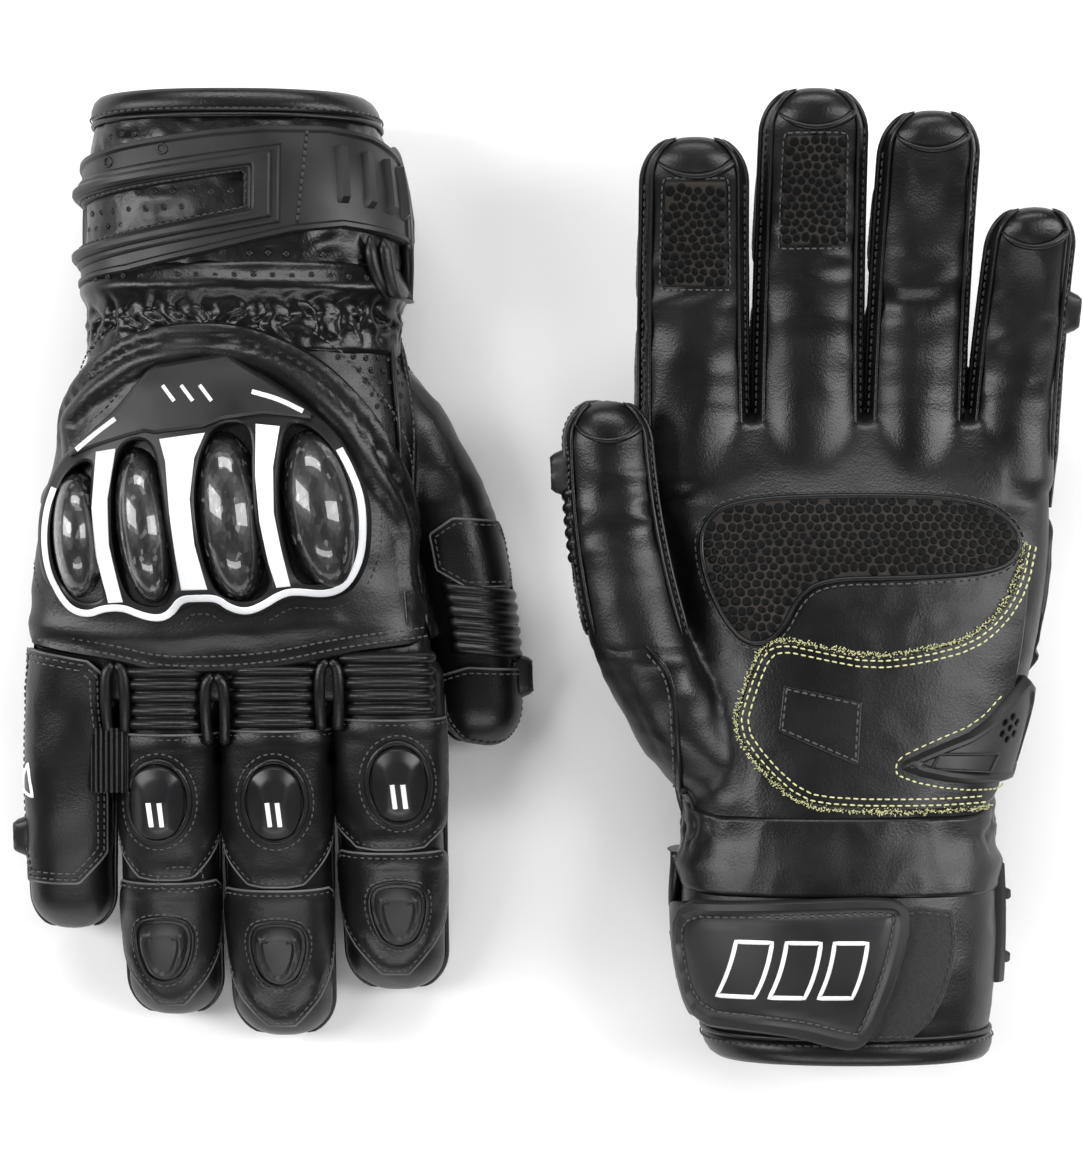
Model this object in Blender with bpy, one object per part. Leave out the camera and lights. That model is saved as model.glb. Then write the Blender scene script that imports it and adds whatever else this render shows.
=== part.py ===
"""A pair of short-cuff motorcycle gloves: the left one lies palm up, the right one palm down.

Each glove is an assembly of hollow leather shells, moulded guards and a wrist strap. The pieces are
modelled once, in the glove's own frame, and placed twice. In that frame +Y runs from the wrist to the
fingertips, +Z is the back of the hand and the thumb lies at -X. Sizes are in millimetres.
"""

import math

import bmesh
import bpy
from mathutils import Matrix, Vector

MM = 0.001

# Driving dimensions of one glove.
CUFF_END_Y = -60.0
WRIST_HALF_GAP = 5.5
KNUCKLE_Y = 98.0
REST_HEIGHT = 35.0  # the glove's middle plane above the surface it lies on
WALL = 2.0
JOINT_GAP = 0.5  # from a hinge's plane to each of the two shells
SEAM_GAP = 0.3  # between pieces that lie on each other
SPLIT_Z = 2.0  # height of the side seam between the palm and the back of the hand
HINGE_DROP = 8.0  # from a finger's middle line to its hinge, towards the palm

# Where the two gloves lie.
GLOVE_OFFSET_X = 73.5
GLOVE_OFFSET_Y = 70.0

# The cuff and the hand: y, middle x, half width, half thickness.
CUFF_STATIONS = (
    (CUFF_END_Y, 11.0, 36.0, 28.0),
    (-38.0, 8.5, 42.0, 30.0),
    (-WRIST_HALF_GAP, 8.0, 42.5, 28.0),
)
HAND_STATIONS = (
    (WRIST_HALF_GAP, 8.0, 43.0, 27.0),
    (25.0, 9.2, 47.0, 25.0),
    (52.0, 12.5, 49.7, 22.5),
    (78.0, 12.9, 53.1, 20.5),
    (KNUCKLE_Y - JOINT_GAP, 10.2, 57.8, 18.0),
)
# The base of the thumb on the hand: y, middle x, middle z, half width, half thickness.
THENAR_STATIONS = (
    (14.0, -27.0, -7.0, 13.0, 14.0),
    (32.0, -37.5, -12.5, 13.5, 14.5),
    (50.5, -46.5, -18.0, 13.5, 13.5),
)

# A digit runs from its root to its tip: y, x and z of its middle line, half width, half thickness.
DIGIT_ROOTS = {
    "index": (KNUCKLE_Y, -31.5, 0.0, 15.0, 13.0),
    "middle": (KNUCKLE_Y, -0.6, 0.0, 15.0, 13.0),
    "ring": (KNUCKLE_Y, 28.4, 0.0, 13.2, 13.0),
    "pinky": (KNUCKLE_Y, 54.8, 0.0, 12.4, 12.0),
    "thumb": (50.5, -46.5, -18.0, 13.5, 13.5),
}
DIGIT_TIPS = {
    "index": (187.0, -32.8, -27.5, 13.6, 11.0),
    "middle": (200.0, -0.8, -27.5, 13.6, 11.0),
    "ring": (194.0, 30.2, -27.5, 12.8, 11.0),
    "pinky": (169.0, 58.5, -22.0, 11.2, 10.0),
    "thumb": (117.0, -56.0, -24.0, 10.8, 10.5),
}
MIDDLE_HINGE_Y = {"index": 143.0, "middle": 151.0, "ring": 147.0, "pinky": 132.0, "thumb": 85.0}
THUMB_SWAY = 2.0  # the thumb's middle line bends towards the fingers; a finger's is straight from above
DOWN = Vector((0.0, 0.0, -1.0))
FLEX_WAY = {"thumb": Vector((1.0, 0.0, -1.0)).normalized()}  # the way a digit closes; down for a finger
KNUCKLE_HALF_ANGLE = 31.0
MIDDLE_HALF_ANGLE = 38.5
THUMB_HALF_ANGLE = 18.0

# The sliders on the back of a finger: their middle line's x, y of the knuckle slider and of the tip slider.
TOP_PADS = {"index": (-34.5, 126.0, 163.0), "middle": (-0.8, 131.0, 174.0), "ring": (31.0, 131.0, 173.0)}

# Ring resolution.
DIGIT_SIDES = 12
HAND_SIDES = 28
DIGIT_POWER = 2.3
HAND_POWER = 2.5

# The four carbon domes over the knuckles: x, y, half width, half length, height of the top.
DOMES = (
    (49.0, 59.0, 6.5, 16.5, 31.0),
    (30.5, 58.5, 6.8, 18.5, 34.5),
    (9.5, 54.0, 7.2, 21.0, 35.6),
    (-13.5, 51.5, 8.0, 19.5, 35.6),
)
GUARD_OUTLINE = (
    (7.9, 10.9), (30.6, 12.5), (46.5, 29.5), (57.5, 45.0), (60.0, 60.0), (57.0, 73.0), (48.7, 80.0),
    (39.7, 77.0), (30.6, 81.0), (22.7, 75.3), (13.6, 74.8), (5.7, 79.5), (-3.4, 75.0), (-15.9, 75.0),
    (-24.9, 69.0), (-27.0, 60.0), (-24.9, 47.5), (-17.0, 29.5), (-4.5, 17.0),
)
CARBON_OUTLINE = (
    (8.0, 28.0), (32.0, 32.0), (52.0, 41.0), (57.0, 55.0), (54.0, 70.0), (44.0, 76.0), (30.0, 78.0),
    (8.0, 75.5), (-12.0, 73.0), (-22.0, 66.0), (-23.0, 50.0), (-18.0, 33.0), (-6.0, 26.0),
)
PALM_SLIDER_OUTLINE = (
    (21.0, 19.0), (40.0, 15.5), (57.0, 16.5), (58.5, 45.0), (53.0, 38.0), (44.0, 28.5), (30.0, 24.0),
)
GRIP_PATCH_OUTLINE = (
    (-34.0, 80.0), (-28.0, 89.5), (10.0, 91.5), (48.0, 90.0), (58.0, 80.0), (50.0, 72.0), (0.0, 70.0),
    (-8.0, 60.0), (-10.0, 52.0), (-20.0, 52.0), (-30.0, 66.0),
)
CUFF_GUARD_OUTLINE = (
    (56.0, -39.0), (56.0, -10.0), (-8.0, -22.0), (-38.0, -17.5), (-38.0, -44.0), (-8.0, -49.5),
)
STRAP_OUTLINE = ((-42.0, -17.0), (20.0, -15.0), (26.0, -21.0), (13.0, -53.0), (6.0, -55.0), (-42.0, -50.0))
LOOP_OUTLINE = ((-8.0, -20.0), (34.0, -18.0), (40.0, -27.0), (24.0, -55.0), (-8.0, -55.0))
STRAP_TOP_Z = -6.0
STRAP_HINGE = (-36.8, -35.0, STRAP_TOP_Z)
LOOP_THICKNESS = 1.0
STRAP_THICKNESS = 3.5
CUFF_GUARD_THICKNESS = 3.3


# ---------------------------------------------------------------- sections


def ellipse_ring(y, centre_x, centre_z, half_width, half_thickness, sides, power):
    """Points of a flattened round section at y, counter-clockwise seen from -Y."""
    ring = []
    for step in range(sides):
        angle = 2.0 * math.pi * (step + 0.5) / sides
        across, up = math.cos(angle), math.sin(angle)
        x = centre_x + half_width * math.copysign(abs(across) ** (2.0 / power), across)
        z = centre_z + half_thickness * math.copysign(abs(up) ** (2.0 / power), up)
        ring.append(Vector((x, y, z)))
    return ring


def digit_section(name, y):
    """Middle x and z, half width and half thickness of a digit at y. It droops towards the tip."""
    root, tip = DIGIT_ROOTS[name], DIGIT_TIPS[name]
    along = (y - root[0]) / (tip[0] - root[0])
    sway = THUMB_SWAY if name == "thumb" else 1.0
    x = root[1] + (tip[1] - root[1]) * (1.0 - max(0.0, 1.0 - along) ** sway)
    z = root[2] + (tip[2] - root[2]) * along * abs(along)
    half_width = root[3] + (tip[3] - root[3]) * along
    half_thickness = root[4] + (tip[4] - root[4]) * along
    return x, z, half_width, half_thickness


def digit_ring(name, y, offset, scale=1.0):
    x, z, half_width, half_thickness = digit_section(name, y)
    return ellipse_ring(
        y, x, z, (half_width + offset) * scale, (half_thickness + offset) * scale, DIGIT_SIDES, DIGIT_POWER
    )


def tip_rings(name, offset):
    """The round end of a digit, as rings that close in on its tip."""
    tip_y, tip_radius = DIGIT_TIPS[name][0] + offset, DIGIT_TIPS[name][4] + offset
    rings = []
    for degrees in (0.0, 35.0, 60.0, 80.0):
        angle = math.radians(degrees)
        y = tip_y - tip_radius * (1.0 - math.sin(angle))
        rings.append(digit_ring(name, y, offset, math.cos(angle)))
    return rings


def station_rings(stations, offset):
    return [
        ellipse_ring(y, x, 0.0, half_width + offset, half_thickness + offset, HAND_SIDES, HAND_POWER)
        for y, x, half_width, half_thickness in stations
    ]


def thenar_rings(offset, extra=0.0):
    rings = [
        ellipse_ring(y, x, z, half_width + offset, half_thickness + offset, DIGIT_SIDES, DIGIT_POWER)
        for y, x, z, half_width, half_thickness in THENAR_STATIONS
    ]
    for point in rings[-1]:
        point.y += extra
    return rings


# ---------------------------------------------------------------- hinges


def hinge_of(name, y):
    """A digit's hinge at y: a point on its axis and the way the digit closes."""
    x, z, _, _ = digit_section(name, y)
    way = FLEX_WAY.get(name, DOWN)
    return Vector((x, y, z)) + way * HINGE_DROP, way


def cut_back(ring, hinge, side, half_angle):
    """Moves a shell's end ring to its side of the hinge, and back from it where the joint closes."""
    point, way = hinge
    slope = math.tan(math.radians(half_angle))
    for vertex in ring:
        depth = max(0.0, (vertex - point).dot(way))
        vertex.y = point.y + side * (JOINT_GAP + depth * slope)
    return ring


# ---------------------------------------------------------------- meshes


def new_object(name, build):
    """An object whose mesh build(bm) makes, in metres, with its faces pointing out."""
    bm = bmesh.new()
    build(bm)
    bmesh.ops.recalc_face_normals(bm, faces=bm.faces)
    bmesh.ops.scale(bm, vec=(MM, MM, MM), verts=bm.verts)
    mesh = bpy.data.meshes.new(name)
    bm.to_mesh(mesh)
    bm.free()
    made = bpy.data.objects.new(name, mesh)
    bpy.context.scene.collection.objects.link(made)
    return made


def bridge(bm, first, second):
    count = len(first)
    for step in range(count):
        after = (step + 1) % count
        bm.faces.new((first[step], first[after], second[after], second[step]))


def add_rings(bm, rings):
    made = [[bm.verts.new(point) for point in ring] for ring in rings]
    for first, second in zip(made, made[1:]):
        bridge(bm, first, second)
    return made


def loft(name, rings):
    """A solid through rings, closed at both ends."""

    def build(bm):
        made = add_rings(bm, rings)
        bm.faces.new(made[0])
        bm.faces.new(made[-1])

    return new_object(name, build)


def shell(name, outer, inner, closed_tip):
    """A hollow tube through two lists of rings. Its far end is open, or closed as a fingertip."""

    def build(bm):
        outside, inside = add_rings(bm, outer), add_rings(bm, inner)
        bridge(bm, outside[0], inside[0])
        if closed_tip:
            bm.faces.new(outside[-1])
            bm.faces.new(inside[-1])
        else:
            bridge(bm, outside[-1], inside[-1])

    return new_object(name, build)


def prism(name, outline, low, high, sideways=False):
    """An outline drawn in X and Y and extruded in Z, or drawn in Y and Z and extruded in X."""

    def place(a, b, depth):
        return Vector((depth, a, b)) if sideways else Vector((a, b, depth))

    def build(bm):
        lower = [bm.verts.new(place(a, b, low)) for a, b in outline]
        upper = [bm.verts.new(place(a, b, high)) for a, b in outline]
        bridge(bm, lower, upper)
        bm.faces.new(lower)
        bm.faces.new(upper)

    return new_object(name, build)


def block(name, low, high):
    corners = ((low[0], low[1]), (high[0], low[1]), (high[0], high[1]), (low[0], high[1]))
    return prism(name, corners, low[2], high[2])


def oval(centre_a, centre_b, half_a, half_b, sides=12):
    angles = [2.0 * math.pi * (step + 0.5) / sides for step in range(sides)]
    return [(centre_a + half_a * math.cos(a), centre_b + half_b * math.sin(a)) for a in angles]


def ellipsoid(name, centre, radii, sides=12, levels=6):
    def build(bm):
        place = Matrix.Translation(centre) @ Matrix.Diagonal((*radii, 1.0))
        bmesh.ops.create_uvsphere(bm, u_segments=sides, v_segments=levels, radius=1.0, matrix=place)

    return new_object(name, build)


def boolean(base, *steps):
    """base after each (operation, other) step. The objects that it used are gone afterwards."""
    for operation, other in steps:
        modifier = base.modifiers.new(operation.title(), "BOOLEAN")
        modifier.operation = operation
        modifier.solver = "EXACT"
        modifier.object = other
    graph = bpy.context.evaluated_depsgraph_get()
    mesh = bpy.data.meshes.new_from_object(base.evaluated_get(graph))
    for used in [base] + [other for _, other in steps]:
        bpy.data.objects.remove(used)
    made = bpy.data.objects.new(mesh.name, mesh)
    bpy.context.scene.collection.objects.link(made)
    return made


def layer(outline_solid, surface, low, high, *more):
    """The part of outline_solid between two offsets of a surface, as a cover lying on it.

    The steps in more come before the cover is cut away from the surface under it.
    """
    return boolean(
        outline_solid, ("INTERSECT", surface("high", high)), *more, ("DIFFERENCE", surface("low", low))
    )


def hand_surface(name, offset):
    first, last = list(HAND_STATIONS[0]), list(HAND_STATIONS[-1])
    first[0] -= 3.0
    last[0] += 3.0
    return loft(name, station_rings([first, *HAND_STATIONS, last], offset))


def cuff_surface(name, offset):
    first, last = list(CUFF_STATIONS[0]), list(CUFF_STATIONS[-1])
    first[0] -= 3.0
    last[0] += 3.0
    return loft(name, station_rings([first, *CUFF_STATIONS, last], offset))


def digit_surface(digit):
    """The function that makes a digit's outer surface at an offset, from before its root to its tip."""

    def surface(name, offset):
        root_y, middle_y = DIGIT_ROOTS[digit][0], MIDDLE_HINGE_Y[digit]
        stations = (root_y, (root_y + middle_y) / 2.0, middle_y)
        rings = [digit_ring(digit, y, offset) for y in stations]
        return loft(name, rings + tip_rings(digit, offset))

    return surface


# ---------------------------------------------------------------- the glove's pieces


def hand_shells():
    """The palm with the thumb's base, and the back of the hand, with a seam gap between them."""
    far_hinge = (Vector((0.0, KNUCKLE_Y, -HINGE_DROP)), DOWN)
    outer_rings = station_rings(HAND_STATIONS, 0.0)
    cut_back(outer_rings[-1], far_hinge, -1.0, KNUCKLE_HALF_ANGLE)
    thumb_hinge = hinge_of("thumb", DIGIT_ROOTS["thumb"][0])
    thenar = thenar_rings(0.0)
    cut_back(thenar[-1], thumb_hinge, -1.0, THUMB_HALF_ANGLE)
    first, last = list(HAND_STATIONS[0]), list(HAND_STATIONS[-1])
    first[0] -= 5.0
    last[0] += 5.0
    inner_rings = station_rings([first, *HAND_STATIONS, last], -WALL)
    halves = {}
    for half, low, high in (
        ("palm_shell", -60.0, SPLIT_Z - SEAM_GAP / 2.0),
        ("back_shell", SPLIT_Z + SEAM_GAP / 2.0, 60.0),
    ):
        body = boolean(
            loft("hand", outer_rings),
            ("UNION", loft("thenar", thenar)),
            ("DIFFERENCE", loft("hollow", inner_rings)),
            ("DIFFERENCE", loft("thumb_hollow", thenar_rings(-WALL, 5.0))),
        )
        halves[half] = boolean(body, ("INTERSECT", block("half", (-90.0, -20.0, low), (90.0, 120.0, high))))
    return halves


def wrist_gusset():
    edge = WRIST_HALF_GAP - JOINT_GAP
    _, x, half_width, half_thickness = HAND_STATIONS[0]
    stations = [(y, x, half_width, half_thickness) for y in (-edge, edge)]
    return shell("wrist_gusset", station_rings(stations, -1.0), station_rings(stations, -2.2), False)


def knuckle_guard():
    windows = [
        ("DIFFERENCE", prism("window", oval(x, y, half_width + 0.7, half_length + 0.7, 14), -10.0, 60.0))
        for x, y, half_width, half_length, _ in DOMES
    ]
    return layer(prism("guard", GUARD_OUTLINE, 5.0, 40.0), hand_surface, 1.9, 7.0, *windows)


def carbon_knuckles():
    """The carbon plate under the guard, with a dome over each knuckle."""
    base = 14.0
    domes = [
        ("UNION", ellipsoid("dome", (x, y, base), (half_width, half_length, top - base)))
        for x, y, half_width, half_length, top in DOMES
    ]
    flat = ("INTERSECT", block("rest", (-90.0, 0.0, 0.0), (90.0, 100.0, REST_HEIGHT)))
    return layer(prism("carbon", CARBON_OUTLINE, 5.0, 40.0), hand_surface, SEAM_GAP, 1.6, *domes, flat)


def cuff_shell():
    return shell("cuff_shell", station_rings(CUFF_STATIONS, 0.0), station_rings(CUFF_STATIONS, -WALL), False)


def cuff_guard():
    """The moulded plate on the back of the cuff, with a flat raised frame."""
    frame = ("UNION", block("frame", (-2.0, -41.0, 24.0), (32.0, -24.0, REST_HEIGHT)))
    outline = prism("plate", CUFF_GUARD_OUTLINE, 3.0, 40.0)
    return layer(outline, cuff_surface, SEAM_GAP, CUFF_GUARD_THICKNESS + SEAM_GAP, frame)


def loop_patch():
    """The soft half of the strap's hook-and-loop fastening, sewn to the cuff."""
    return layer(prism("loop", LOOP_OUTLINE, -40.0, -3.0), cuff_surface, SEAM_GAP, SEAM_GAP + LOOP_THICKNESS)


def strap():
    low = 2.0 * SEAM_GAP + LOOP_THICKNESS
    flat = ("INTERSECT", block("rest", (-90.0, -90.0, -REST_HEIGHT), (90.0, 90.0, 0.0)))
    return layer(prism("strap", STRAP_OUTLINE, -45.0, STRAP_TOP_Z), cuff_surface, low, low + STRAP_THICKNESS, flat)


def palm_slider():
    return layer(prism("slider", PALM_SLIDER_OUTLINE, -40.0, -2.0), hand_surface, SEAM_GAP, 3.3)


def grip_patch():
    return layer(prism("patch", GRIP_PATCH_OUTLINE, -40.0, -2.0), hand_surface, SEAM_GAP, 1.4)


def proximal_shell(name):
    """A digit's first segment, an open tube from its root hinge to its middle hinge."""
    root_y, middle_y = DIGIT_ROOTS[name][0], MIDDLE_HINGE_Y[name]
    root_hinge, middle_hinge = hinge_of(name, root_y), hinge_of(name, middle_y)
    root_angle = THUMB_HALF_ANGLE if name == "thumb" else KNUCKLE_HALF_ANGLE
    middle_angle = THUMB_HALF_ANGLE if name == "thumb" else MIDDLE_HALF_ANGLE
    walls = []
    for offset in (0.0, -WALL):
        rings = [digit_ring(name, y, offset) for y in (root_y, (root_y + middle_y) / 2.0, middle_y)]
        cut_back(rings[0], root_hinge, 1.0, root_angle)
        cut_back(rings[-1], middle_hinge, -1.0, middle_angle)
        walls.append(rings)
    return shell(name + "_proximal", walls[0], walls[1], False)


def distal_shell(name):
    """A digit's last segment, open at its hinge and closed at its tip."""
    middle_y = MIDDLE_HINGE_Y[name]
    middle_angle = THUMB_HALF_ANGLE if name == "thumb" else MIDDLE_HALF_ANGLE
    walls = []
    for offset in (0.0, -WALL):
        rings = [digit_ring(name, middle_y, offset)] + tip_rings(name, offset)
        cut_back(rings[0], hinge_of(name, middle_y), 1.0, middle_angle)
        walls.append(rings)
    return shell(name + "_distal", walls[0], walls[1], True)


def top_pad(digit, x, y, half_width, half_length, height):
    """A hard insert on the back of a digit."""
    z = digit_section(digit, y)[1]
    solid = prism("pad", oval(x, y, half_width, half_length), z, z + 30.0)
    return layer(solid, digit_surface(digit), SEAM_GAP, height)


def side_pad(digit, y, z, half_length, half_height, height, outward):
    """A hard insert on the outer side of a digit; outward is +1 towards the little finger."""
    x = digit_section(digit, y)[0]
    low, high = sorted((x, x + outward * 30.0))
    solid = prism("pad", oval(y, z, half_length, half_height, 10), low, high, sideways=True)
    return layer(solid, digit_surface(digit), SEAM_GAP, height)


def finger_bridge():
    """The pleated leather that joins the ring and little fingers beyond the knuckle."""
    between = block("bridge", (38.0, 108.0, 3.0), (50.0, 128.0, 11.5))
    return boolean(
        between,
        ("DIFFERENCE", digit_surface("ring")("ring", SEAM_GAP)),
        ("DIFFERENCE", digit_surface("pinky")("pinky", SEAM_GAP)),
    )


def hand_pieces():
    palm_and_back = hand_shells()
    return {
        "palm_shell": (palm_and_back["palm_shell"], "leather"),
        "back_shell": (palm_and_back["back_shell"], "leather"),
        "wrist_gusset": (wrist_gusset(), "elastic"),
        "knuckle_guard": (knuckle_guard(), "rubber"),
        "carbon_knuckles": (carbon_knuckles(), "carbon"),
        "palm_slider": (palm_slider(), "rubber"),
        "palm_grip_patch": (grip_patch(), "grip"),
    }


def cuff_pieces():
    return {
        "cuff_shell": (cuff_shell(), "leather"),
        "cuff_guard": (cuff_guard(), "rubber"),
        "loop_patch": (loop_patch(), "hook_loop"),
    }


def digit_pieces(digit):
    """The pieces on a digit's first segment, and those on its last."""
    first = {digit + "_proximal": (proximal_shell(digit), "leather")}
    last = {digit + "_distal": (distal_shell(digit), "leather")}
    if digit in TOP_PADS:
        x, knuckle_y, tip_y = TOP_PADS[digit]
        first[digit + "_knuckle_slider"] = (top_pad(digit, x, knuckle_y, 7.4, 10.0, 3.6), "hard_plastic")
        last[digit + "_tip_slider"] = (top_pad(digit, x, tip_y, 6.6, 7.8, 3.2), "rubber")
    if digit == "ring":
        first["finger_bridge"] = (finger_bridge(), "leather")
    if digit == "pinky":
        last["pinky_slider"] = (side_pad(digit, 142.0, -8.5, 6.5, 5.0, 3.6, 1.0), "rubber")
    if digit == "thumb":
        last["thumb_slider"] = (side_pad(digit, 98.0, -21.0, 7.0, 5.0, 3.6, -1.0), "rubber")
    return first, last


def glove_bodies():
    """Each rigid body of a glove: the body it turns on, a point on its hinge's axis, and its pieces."""
    bodies = {
        "hand": (None, Vector(), hand_pieces()),
        "cuff": ("hand", Vector((HAND_STATIONS[0][1], 0.0, 0.0)), cuff_pieces()),
        "strap": ("cuff", Vector(STRAP_HINGE), {"strap": (strap(), "rubber")}),
    }
    for digit, root in DIGIT_ROOTS.items():
        first, last = digit_pieces(digit)
        root_hinge = hinge_of(digit, root[0])[0]
        middle_hinge = hinge_of(digit, MIDDLE_HINGE_Y[digit])[0]
        bodies[digit + "_proximal"] = ("hand", root_hinge, first)
        bodies[digit + "_distal"] = (digit + "_proximal", middle_hinge, last)
    return bodies


# ---------------------------------------------------------------- materials and placing

FINISHES = {
    "leather": ((0.018, 0.018, 0.020), 0.45, 0.0),
    "elastic": ((0.012, 0.012, 0.013), 0.80, 0.0),
    "rubber": ((0.030, 0.030, 0.032), 0.60, 0.0),
    "carbon": ((0.022, 0.022, 0.022), 0.15, 0.0),
    "grip": ((0.035, 0.032, 0.030), 0.70, 0.0),
    "hook_loop": ((0.008, 0.008, 0.008), 0.95, 0.0),
    "hard_plastic": ((0.015, 0.015, 0.016), 0.25, 0.0),
}


def make_material(name):
    colour, roughness, metallic = FINISHES[name]
    material = bpy.data.materials.new(name)
    material.use_nodes = True
    surface = material.node_tree.nodes["Principled BSDF"]
    surface.inputs["Base Color"].default_value = (*colour, 1.0)
    surface.inputs["Roughness"].default_value = roughness
    surface.inputs["Metallic"].default_value = metallic
    return material


def linked(name, data, parent, location):
    made = bpy.data.objects.new(name, data)
    bpy.context.scene.collection.objects.link(made)
    made.parent = parent
    made.location = location * MM
    return made


def place_glove(side, placing, bodies):
    """One glove: an empty on each body's hinge, under that of the body it turns on, and its pieces."""
    glove = linked(side + "_glove", None, None, Vector())
    glove.matrix_world = placing
    holders, hinges = {None: glove}, {None: Vector()}
    for body, (parent, hinge, pieces) in bodies.items():
        holders[body] = linked(side + "_" + body + "_hinge", None, holders[parent], hinge - hinges[parent])
        hinges[body] = hinge
        for name, (master, _) in pieces.items():
            linked(side + "_" + name, master.data, holders[body], -hinge)


def main():
    for old in list(bpy.data.objects):
        bpy.data.objects.remove(old)
    bodies = glove_bodies()
    materials = {name: make_material(name) for name in FINISHES}
    masters = [piece for _, _, pieces in bodies.values() for piece in pieces.values()]
    for master, material in masters:
        master.data.materials.clear()
        master.data.materials.append(materials[material])
        master.data.shade_smooth()
        master.data.set_sharp_from_angle(angle=math.radians(35.0))
    x, y, z = GLOVE_OFFSET_X * MM, GLOVE_OFFSET_Y * MM, REST_HEIGHT * MM
    place_glove("right", Matrix.Translation((-x, y, z)) @ Matrix.Rotation(math.pi, 4, "Z"), bodies)
    place_glove("left", Matrix.Translation((x, -y, z)) @ Matrix.Diagonal((1.0, 1.0, -1.0, 1.0)), bodies)
    for master, _ in masters:
        bpy.data.objects.remove(master)


main()
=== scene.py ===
import math
import random

import bpy
import numpy as np
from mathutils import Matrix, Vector, noise
from mathutils.bvhtree import BVHTree
from mathutils.geometry import delaunay_2d_cdt


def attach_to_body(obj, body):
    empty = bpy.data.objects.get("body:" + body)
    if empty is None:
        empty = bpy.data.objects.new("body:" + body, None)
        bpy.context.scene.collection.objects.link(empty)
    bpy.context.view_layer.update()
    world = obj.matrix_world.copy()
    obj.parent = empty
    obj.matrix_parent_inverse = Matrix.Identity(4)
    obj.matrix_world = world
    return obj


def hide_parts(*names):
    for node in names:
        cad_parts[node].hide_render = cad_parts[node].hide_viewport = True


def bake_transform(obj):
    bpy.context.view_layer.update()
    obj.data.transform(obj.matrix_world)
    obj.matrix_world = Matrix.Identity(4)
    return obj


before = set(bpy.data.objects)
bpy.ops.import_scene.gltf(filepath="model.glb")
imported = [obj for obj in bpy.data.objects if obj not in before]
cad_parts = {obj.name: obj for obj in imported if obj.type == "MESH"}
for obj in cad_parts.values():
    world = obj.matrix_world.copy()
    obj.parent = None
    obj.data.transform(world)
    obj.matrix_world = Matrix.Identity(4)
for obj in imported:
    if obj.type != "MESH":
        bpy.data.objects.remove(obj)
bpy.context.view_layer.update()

# A pair of motorcycle gloves: the right one lies palm down, the left one palm up. Each piece is built once in
# a glove frame in millimetres (wrist to fingertips along +Y, back of the hand up, thumb towards -X), then
# placed as a right-hand and as a left-hand piece.

MM = 0.001
GLOVE_OFFSET_X = 73.5
GLOVE_OFFSET_Y = 70.0
REST_HEIGHT = 35.0
SIDES = ("right", "left")

# ---------------------------------------------------------------- driving sizes

CUFF_END = -60.0
# y, middle x, half width, half thickness
CUFF_STATIONS = (
    (-63.0, 11.5, 34.6, 27.6),
    (CUFF_END, 11.0, 36.0, 28.0),
    (-49.0, 9.5, 39.8, 29.2),
    (-38.0, 8.5, 42.0, 30.0),
    (-22.0, 8.0, 43.0, 29.5),
    (-5.5, 8.0, 42.5, 28.0),
)
HAND_STATIONS = (
    (-8.0, 8.0, 41.5, 26.5),
    (5.5, 8.0, 42.0, 26.5),
    (25.0, 9.2, 46.5, 25.0),
    (52.0, 12.5, 49.7, 22.5),
    (76.0, 12.9, 52.8, 19.8),
    (88.0, 11.6, 54.6, 17.0),
    (96.0, 10.8, 55.2, 14.2),
    (104.0, 10.4, 54.4, 11.6),
)
# y, middle x, middle z, half width, half thickness
THENAR_STATIONS = (
    (8.0, -22.0, -4.0, 10.0, 11.0),
    (20.0, -31.0, -9.0, 13.2, 14.0),
    (32.0, -37.5, -12.5, 13.5, 14.5),
    (44.0, -43.5, -16.2, 13.6, 14.0),
    (54.0, -48.2, -19.0, 12.6, 12.6),
)
# y, x, z, half width and half thickness at the root, then at the tip
DIGITS = {
    "index": ((98.0, -31.5, 0.0, 15.0, 13.0), (187.0, -32.8, -27.5, 13.6, 11.0)),
    "middle": ((98.0, -0.6, 0.0, 15.0, 13.0), (200.0, -0.8, -27.5, 13.6, 11.0)),
    "ring": ((98.0, 28.4, 0.0, 13.2, 13.0), (194.0, 30.2, -27.5, 12.8, 11.0)),
    "pinky": ((98.0, 54.8, 0.0, 12.4, 12.0), (169.0, 58.5, -22.0, 11.2, 10.0)),
    "thumb": ((50.5, -46.5, -18.0, 13.5, 13.5), (117.0, -56.0, -24.0, 10.8, 10.5)),
}
# y of the middle joint, and of the parting between a digit's two pieces
MIDDLE_HINGE = {"index": 143.0, "middle": 151.0, "ring": 147.0, "pinky": 132.0, "thumb": 85.0}
SPLIT = {"index": 122.0, "middle": 122.0, "ring": 122.0, "pinky": 115.0, "thumb": 67.0}
FINGERS = ("index", "middle", "ring", "pinky")
POWER_HAND = 2.5
POWER_DIGIT = 2.4

# ---------------------------------------------------------------- sleeves


def spread(*values):
    """The values as flat arrays of one length."""
    return [np.asarray(a, float).ravel() for a in np.broadcast_arrays(*values)]


def smooth(low, high, value):
    """0 below low, 1 above high, and an even turn between them."""
    t = np.clip((np.asarray(value, float) - low) / (high - low), 0.0, 1.0)
    return t * t * (3.0 - 2.0 * t)


def eased(stations, y):
    """Each value of the stations at y, on one smooth curve through them."""
    table = np.array(stations, float)
    ys = table[:, 0]
    slopes = np.gradient(table[:, 1:], ys, axis=0)
    y = min(max(y, ys[0]), ys[-1])
    i = min(int(np.searchsorted(ys, y, "right")) - 1, len(ys) - 2)
    h = ys[i + 1] - ys[i]
    t = (y - ys[i]) / h
    a, b = table[i, 1:], table[i + 1, 1:]
    return (
        a * (2 * t**3 - 3 * t**2 + 1)
        + b * (3 * t**2 - 2 * t**3)
        + slopes[i] * h * (t**3 - 2 * t**2 + t)
        + slopes[i + 1] * h * (t**3 - t**2)
    )


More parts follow.
